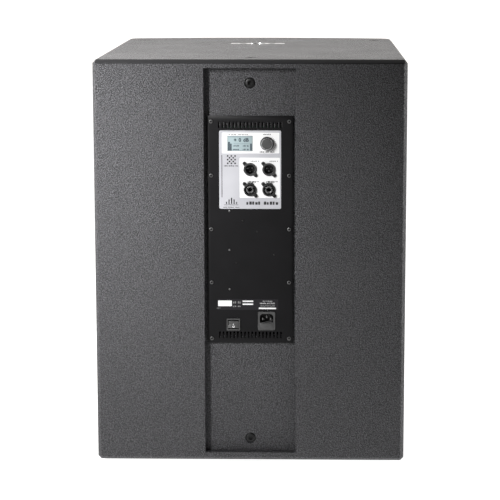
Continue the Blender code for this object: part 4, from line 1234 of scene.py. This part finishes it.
def level_reading(text, size, level):
    """Font outline of a short reading, as a thin solid."""
    curve = bpy.data.curves.new("reading", "FONT")
    curve.body = text
    curve.size = size
    curve.align_x = "CENTER"
    curve.space_character = 1.12
    curve.offset = 0.00026
    curve.extrude = PRINT
    curve.resolution_u = 4
    obj = in_scene("reading", curve)
    bm = evaluated_solid(obj)
    bpy.data.objects.remove(obj)
    bpy.data.curves.remove(curve)
    return moved(bm, shift(0, 0, level))


def display():
    """Pale reflective display behind a clear window, with a level reading and bar meters."""
    low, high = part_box("lcd_window")
    u, v = centre_uv("lcd_window")
    left, right = -high.x, -low.x
    base, top = low.z, high.z
    window = block((left, base, low.y - PLATE_Y), (right, top, LABEL_FACE), 0.0002)
    piece("display_window", window, "display_clear", at=on_plate(), stands_for=["lcd_window"])
    level = LABEL_FACE + PRINT / 2
    edge = 0.0016
    rim = edge / 3
    outer = block((left + rim, base + rim, level), (right - rim, top - rim, level + PRINT))
    inner = block((left + edge, base + edge / 2, -1), (right - edge, top - 1.6 * edge, 1))
    border = carved(outer, [inner])
    piece("display_border", border, "display_clear", at=on_plate(), look=DISPLAY_BORDER)
    reading = level_reading("+ 0 dB", 0.0086, level + PRINT)
    ink = [moved(reading, shift(u + 0.0022, v + 0.0032))]
    meter_v = base + 0.0008
    meters = ((0.0013, 0.0028, 0.0150), (0.0047, 0.0024, 0.0122), (0.0394, 0.0026, 0.0122))
    for start, width, tall in meters:
        corner = (left + start, meter_v)
        ink.append(bar(corner, (corner[0] + width, meter_v + tall), level + PRINT))
    ink.append(bar((left + 0.0094, v - 0.0008), (left + 0.0380, v - 0.0005), level))
    for row_v in (v - 0.0042, v - 0.0104):
        ink += caption(left + 0.0098, left + 0.0202, row_v, 0.0020, (6,), level)
        ink += caption(left + 0.0266, left + 0.0372, row_v, 0.0022, (3, 2), level)
    piece("display_segments", joined(ink), "display_clear", at=on_plate(), look=DISPLAY_INK)


def knob():
    """Push-and-turn knob: knurled skirt, bright ring and a dished cap with a pointer dimple."""
    place = at_node("encoder_knob")
    low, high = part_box("encoder_knob")
    base = low.y - PLATE_Y
    top = high.y - PLATE_Y
    inner, hole = base + 0.0020, base + 0.0060
    profile = [(0.0060, base), (0.0120, base), (0.0120, base + 0.0022), (0.0104, base + 0.0036)]
    profile += [(0.0096, top - 0.0012), (0.0090, top - 0.0006), (0, top - 0.0006)]
    profile += [(0, hole), (0.0021, hole), (0.0021, inner), (0.0060, inner)]
    body = lathe(fillet(profile, 0.0004, 3, True), 180)
    for vert in body.verts:
        radius = math.hypot(vert.co.x, vert.co.y)
        if radius > 0.0112 and base < vert.co.z < base + 0.0030:
            angle = math.atan2(vert.co.y, vert.co.x)
            push = 1 - 0.012 * (1 + math.cos(45 * angle)) / 2
            vert.co.x *= push
            vert.co.y *= push
    piece("knob_body", body, "black_plastic", "volume_knob", place, ["encoder_knob"])
    ring = [(0.0088, top - 0.0016), (0.0101, top - 0.0016), (0.0100, top - 0.0012)]
    ring += [(0.0090, top), (0.0088, top)]
    piece("knob_ring", lathe(ring, 96), "aluminium", "volume_knob", place)
    cap = [(0, top - 0.0012), (0.0087, top - 0.0012), (0.0087, top - 0.0002)]
    cap = lathe([*cap, (0.0080, top - 0.0001), (0, top - 0.0005)], 96, closed=False)
    dimple = lathe([(0, 0.002), (0.0012, 0.002), (0.0009, -0.0002), (0, -0.0005)], 24, False)
    cap = carved(cap, [moved(dimple, shift(0, 0.0062, top))])
    piece("knob_cap", cap, "grey_plastic", "volume_knob", place)


# ======== sockets ========


def socket_outline():
    """Round body with one ear up to the left and one down to the right."""
    reach = EAR.length
    lean = math.atan2(EAR.y, EAR.x)
    spread = math.asin(EAR_R / SOCKET_R)
    points = []
    for start in (lean, lean + math.pi):
        tip = (reach * math.cos(start), reach * math.sin(start))
        points += arc(tip, EAR_R, start - math.pi / 2, start + math.pi / 2, 10)
        points += arc((0, 0), SOCKET_R, start + spread, start + math.pi - spread, 28)
    return points


def socket_flange():
    """Flange on the label, the barrel behind it and a raised lip round the mouth."""
    face = LABEL_FACE + FLANGE_THICK
    flange = prism(socket_outline(), LABEL_FACE + GAP, face, 0.0005)
    barrel = rod((0, 0), BARREL_R, -0.0235, face - 0.0008, 64)
    low, high = face - 0.0012, face + 0.0005
    lip = [(0.0086, low), (0.0106, low), (0.0102, high), (0.0090, high)]
    lip = lathe(fillet(lip, 0.0002, 2), 72)
    return carved(flange, [barrel, lip], "UNION")


def socket_shell(name, place, cutters, look):
    body = carved(socket_flange(), cutters)
    at = {"at": place, "stands_for": [name], "look": look}
    piece(name + "_shell", body, "black_plastic", weighted=True, **at)


def socket_screws(name, place):
    heads = screw_heads((EAR, -EAR), 0.0021, 0.0008, LABEL_FACE + FLANGE_THICK)
    piece(name + "_screws", heads, "black_plastic", at=place, look=SCREW_BLACK)


def outputs():
    """Male three-pin sockets."""
    for name in OUTPUTS:
        place = at_node(name)
        cup = rod((0, 0), 0.0082, -0.0130, CLEAR, 64)
        socket_shell(name, place, [cup], SOCKET_PLASTIC)
        pin = [(0, -0.0140), (0.0012, -0.0140), (0.0012, -0.0008), (0.0008, -0.0001), (0, 0)]
        spots = ((-0.0036, 0.0018), (0.0036, 0.0018), (0.0, -0.0036))
        pins = [moved(lathe(pin, 24, closed=False), shift(*spot)) for spot in spots]
        piece(name + "_pins", joined(pins), "zinc_steel", at=place, look=DULL_METAL)
        key = block((-0.0012, 0.0066, -0.0120), (0.0012, 0.0083, -0.0030), 0.0003)
        piece(name + "_key", key, "black_plastic", at=place)
        socket_screws(name, place)


def inputs():
    """Combined sockets: dark ring, grey core with a jack hole and three contact holes, latch."""
    for name in INPUTS:
        place = at_node(name)
        groove = lathe([(0.0075, -0.0130), (0.0088, -0.0130), (0.0088, CLEAR), (0.0075, CLEAR)], 72)
        well = rod((0, 0), 0.0076, -0.0190, CLEAR, 64)
        socket_shell(name, place, [groove, well], COMBO_PLASTIC)
        top = LABEL_FACE + FLANGE_THICK
        face = top - 0.0002
        core = [(0.0034, -0.0185), (0.0074, -0.0185), (0.0074, face - 0.0030), (0.0069, face - 0.0014)]
        core += [(0.0060, face - 0.0004), (0.0052, face), (0.0044, face - 0.0004)]
        core += [(0.0038, face - 0.0014), (0.0034, face - 0.0030)]
        core = lathe(fillet(core, 0.0003, 2), 72)
        spots = ((-0.0050, 0.0022), (0.0050, 0.0022), (0.0, -0.0054))
        holes = [rod(spot, 0.0012, -0.0100, CLEAR, 20) for spot in spots]
        core = carved(core, [joined(holes)])
        piece(name + "_core", core, "black_plastic", at=place, look=CORE_PLASTIC)
        latch = block((-0.0050, 0.0094, LABEL_FACE + GAP), (0.0050, 0.0124, top + 0.0008), 0.0005)
        piece(name + "_latch", latch, "black_plastic", at=place)
        socket_screws(name, place)


# ======== mains ========


def c14_outline():
    """Six-sided mouth of the mains inlet, with its top corners cut off."""
    half, low, high, nick = 0.0118, -0.0030, 0.0128, 0.0038
    points = [(-half, low), (half, low), (half, high - nick), (half - nick, high)]
    return fillet([*points, (nick - half, high), (-half, high - nick)], 0.0006, 3)


def mains_inlet():
    """Inlet with its mouth, plated blades, and a fuse drawer that pulls out below."""
    place = at_node("iec_inlet")
    outline = rounded_rectangle((0, 0), size_uv("iec_inlet"), 0.002)
    flange = prism(outline, GAP, FLANGE_THICK, 0.0005)
    body = block((-0.0135, -0.0147, -0.0240), (0.0135, 0.0146, 0.0010))
    mouth = prism(c14_outline(), -0.0170, CLEAR)
    pocket = block((-0.0116, -0.0142, -0.0186), (0.0116, -0.0038, CLEAR))
    inlet = carved(carved(flange, [body], "UNION"), [mouth, pocket])
    piece("mains_inlet_body", inlet, "grey_plastic", at=place, stands_for=["iec_inlet"], weighted=True)
    blades = []
    for u, v in ((-0.0070, 0.0030), (0.0, 0.0070), (0.0070, 0.0030)):
        blades.append(block((u - 0.0010, v - 0.0020, -0.0180), (u + 0.0010, v + 0.0020, -0.0015), 0.0003))
    piece("mains_inlet_blades", joined(blades), "zinc_steel", at=place, look=DULL_METAL)
    drawer = block((-0.0113, -0.0139, -0.0183), (0.0113, -0.0041, 0.0026), 0.0004)
    trough = block((-0.0104, -0.0122, -0.0120), (0.0104, 0.0, -0.0060))
    nail = block((-0.0050, -0.0052, 0.0018), (0.0050, -0.0030, 0.0050))
    drawer = carved(drawer, [trough, nail])
    piece("fuse_drawer_body", drawer, "grey_plastic", "fuse_drawer", place, ["fuse_drawer"])
    fuse_place = place @ shift(0, -0.0092, -0.0090) @ Matrix.Rotation(math.pi / 2, 4, "Y")
    tube = [(0.0019, -0.0072), (0.00235, -0.0072), (0.00235, 0.0072), (0.0019, 0.0072)]
    piece("fuse_tube", lathe(tube, 40), "fuse_glass", "fuse_drawer", fuse_place, ["fuse"])
    caps = []
    for side in (-1, 1):
        cap = [(0, side * 0.0064), (0.0018, side * 0.0064), (0.0018, side * 0.0073)]
        cap += [(0.0026, side * 0.0073), (0.0026, side * 0.0100), (0, side * 0.0100)]
        caps.append(lathe(cap, 40, closed=False))
    piece("fuse_caps", joined(caps), "zinc_steel", "fuse_drawer", fuse_place)


def mains_switch():
    """Rocker switch with its bezel. The rocker carries the usual line and circle."""
    place = at_node("switch_housing")
    opening = (0.0197 / 2, 0.0168 / 2)
    outline = rounded_rectangle((0, 0), size_uv("switch_housing"), 0.0012)
    bezel = prism(outline, GAP, FLANGE_THICK, 0.0004)
    case = block((-0.0105, -0.0091, -0.0180), (0.0105, 0.0091, 0.0010))
    well = block((-opening[0], -opening[1], -0.0150), (opening[0], opening[1], CLEAR))
    housing = carved(carved(bezel, [case], "UNION"), [well])
    piece("switch_bezel", housing, "grey_plastic", at=place, stands_for=["switch_housing"], weighted=True)
    ridge = 0.0042
    low_end, high_end = -0.0074, 0.0054
    slope = math.tan(ROCKER_TILT)
    outline = [(low_end, ridge - low_end * slope), (0.0, ridge), (high_end, ridge + high_end * slope)]
    outline += [(high_end * 0.9, 0.0), (0.0, -0.0040), (low_end * 0.9, 0.0)]
    rocker = prism(fillet(outline, 0.0008, 4), 0.0004 - opening[0], opening[0] - 0.0004, 0.0004)
    along_u = Matrix(((0, 0, 1, 0), (1, 0, 0, 0), (0, 1, 0, 0), (0, 0, 0, 1)))
    tilt = Matrix.Rotation(-ROCKER_TILT, 4, "X")
    rocker_place = place @ shift(0, 0, ROCKER_PIVOT_W) @ tilt
    rocker = moved(rocker, along_u)
    piece("rocker", rocker, "grey_plastic", "mains_rocker", rocker_place, ["switch_rocker"])
    face = rocker_place @ shift(0, 0, ridge) @ tilt
    line = bar((-0.0005, -0.0010), (0.0005, 0.0010), 2 * PRINT)
    ring = lathe([(0.0012, PRINT), (0.0019, PRINT), (0.0019, 2 * PRINT), (0.0012, 2 * PRINT)], 48)
    ring = moved(ring, shift(0, -0.0046))
    piece("rocker_marks", joined([line, ring]), "grey_plastic", "mains_rocker", face, look=WHITE_PRINT)


def mains_print():
    """Printed strip above the switch and the inlet, with blank boxes and marks."""
    level = PRINT / 2
    strip = bar((-0.0574, 0.2790), (0.0486, 0.2980), level, 0.001)
    piece("mains_strip", strip, "plate_black", at=on_plate(), look=PANEL_PRINT)
    level += 1.5 * PRINT
    boxes = (
        ((-0.0564, 0.2856), (-0.0325, 0.2956)),
        ((-0.0137, 0.2934), (0.0050, 0.2957)),
        ((-0.0137, 0.2880), (0.0050, 0.2903)),
        ((0.0146, 0.2806), (0.0450, 0.2832)),
    )
    light = ((0.0215, 0.0385, 0.2948, 0.0014, (2, 7)), (0.0166, 0.0430, 0.2910, 0.0020, (7, 3, 5)))
    faint = (
        (0.0170, 0.0430, 0.2875, 0.0016, (5, 8, 4)),
        (0.0170, 0.0430, 0.2850, 0.0012, (8, 3, 6)),
        (-0.0140, 0.0052, 0.2915, 0.0012, (4, 6)),
        (-0.0590, -0.0519, 0.2822, 0.0014, (5,)),
        (-0.0305, -0.0160, 0.2925, 0.0040, (2, 2)),
        (-0.0305, -0.0160, 0.2855, 0.0026, (2, 2)),
    )
    white = [bar(*corners, level, 0.0003) for corners in boxes]
    rows = (
        ("mains_white_marks", white, WHITE_PRINT),
        ("mains_light_marks", captions(light, level), LIGHT_PRINT),
        ("mains_grey_marks", captions(faint, level), GREY_PRINT),
    )
    for name, marks, look in rows:
        piece(name, joined(marks), "plate_black", at=on_plate(), look=look)


# ======== parts behind the panel and the baffle ========


def softened(name, node, width, body="cabinet", look=None):
    """The CAD part's own shape with its edges rounded."""
    bm = bmesh.new()
    source = frame["nodes"][node]
    bm.from_mesh(source.data)
    moved(bm, source.matrix_world)
    bmesh.ops.remove_doubles(bm, verts=bm.verts, dist=1e-6)
    flat = math.radians(1)
    bmesh.ops.dissolve_limit(bm, angle_limit=flat, verts=bm.verts, edges=bm.edges)
    soften(bm, width)
    bmesh.ops.triangulate(bm, faces=bm.faces)
    subparts = frame["record"]["subparts"]
    slot = next(part["material_slot"] for part in subparts if part["node"] == node)
    piece(name, bm, slot, body, stands_for=[node], look=look)


def inner_parts():
    softened("baffle_board", "front_baffle", 0.0008)
    softened("port_shelf_board", "port_shelf", 0.0008)
    softened("window_brace_board", "window_brace", 0.0008)
    softened("chassis_cover", "amp_chassis", 0.0006, look=DARK_CHASSIS)
    softened("heat_sink_fins", "heat_sink", 0.0003)
    softened("main_board", "amp_board", 0.0002)
    softened("supply_board", "power_board", 0.0002)
    softened("front_board", "control_board", 0.0002)
    softened("display_board", "lcd_module", 0.0002)
    softened("transformer_core", "transformer", 0.0010)
    softened("encoder_case", "encoder_body", 0.0003)
    softened("encoder_push_rod", "encoder_plunger", 0.0002, "encoder_push")
    softened("encoder_spindle", "encoder_shaft", 0.0002, "volume_knob")
    softened("terminal_block", "woofer_terminal", 0.0006)
    softened("panel_seal", "plate_gasket", 0.0003)


# ======== studio ========


def area_light(name, place, target, size, power, spread):
    light = bpy.data.lights.new(name, "AREA")
    light.shape = "RECTANGLE"
    light.size, light.size_y = size
    light.energy = power
    light.spread = math.radians(spread)
    obj = in_scene(name, light)
    obj.location = place
    aim = Vector(target) - Vector(place)
    obj.rotation_euler = aim.to_track_quat("-Z", "Y").to_euler()
    obj.visible_camera = False


def world():
    """White studio: bright towards -Y and dim towards +Y, with a faint glow straight that way."""
    studio = bpy.data.worlds.new("studio")
    studio.use_nodes = True
    tree = studio.node_tree
    background = tree.nodes["Background"]
    direction = tree.nodes.new("ShaderNodeTexCoord").outputs["Generated"]
    lean = length_along(tree, direction, (0, 1, 0))
    levels = []
    for start, end, low, high in WORLD_LEVELS:
        level = map_range(tree, lean, (start, end), (low, high))
        level.node.interpolation_type = "SMOOTHSTEP"
        levels.append(level)
    tree.links.new(combined(tree, *levels, "ADD"), background.inputs["Strength"])
    background.inputs["Color"].default_value = WORLD_COLOUR
    bpy.context.scene.world = studio


def floor():
    """White sweep. It glows under the cabinet and dims towards the camera's side."""
    bm = bmesh.new()
    bmesh.ops.create_circle(bm, cap_ends=True, segments=96, radius=FLOOR_RADIUS)
    mesh = as_mesh("studio_floor", bm)
    obj = in_scene("studio_floor", mesh)
    obj.location = (0, 0, -0.0005)
    look = Look("studio_floor", roughness=0.9, specular=0.1)
    look.colour(look.noise(0.8, 1.0), grey(0.30), grey(0.34))
    split = look.tree.nodes.new("ShaderNodeSeparateXYZ")
    look.link(look.place, split.inputs["Vector"])
    glow = look.span(split.outputs["Y"], *FLOOR_GLOW, *FLOOR_FADE_Y)
    glow.node.interpolation_type = "SMOOTHSTEP"
    look.link(glow, look.shader.inputs["Emission Strength"])
    look.shader.inputs["Emission Color"].default_value = (1, 1, 1, 1)
    mesh.materials.append(look.material)


def camera():
    data = bpy.data.cameras.new("camera")
    data.sensor_width = 36
    data.lens = CAMERA_LENS
    data.shift_x, data.shift_y = CAMERA_SHIFT
    obj = in_scene("camera", data)
    obj.location = CAMERA_PLACE
    obj.rotation_euler = CAMERA_TURN
    bpy.context.scene.camera = obj


def studio():
    camera()
    world()
    floor()
    for row in LIGHTS:
        area_light(*row)
    bpy.context.scene.view_settings.view_transform = "Standard"


studio()
finish_cad_nodes()
for build in (
    cabinet_shell, pole_mount, rigging_bolts, handles, feet, grille_sheet, grille_border, grille_foam,
    woofer_basket, woofer, amp_plate, plate_screws, label, display, knob, outputs, inputs,
    mains_inlet, mains_switch, mains_print, inner_parts,
):  # fmt: skip
    build()
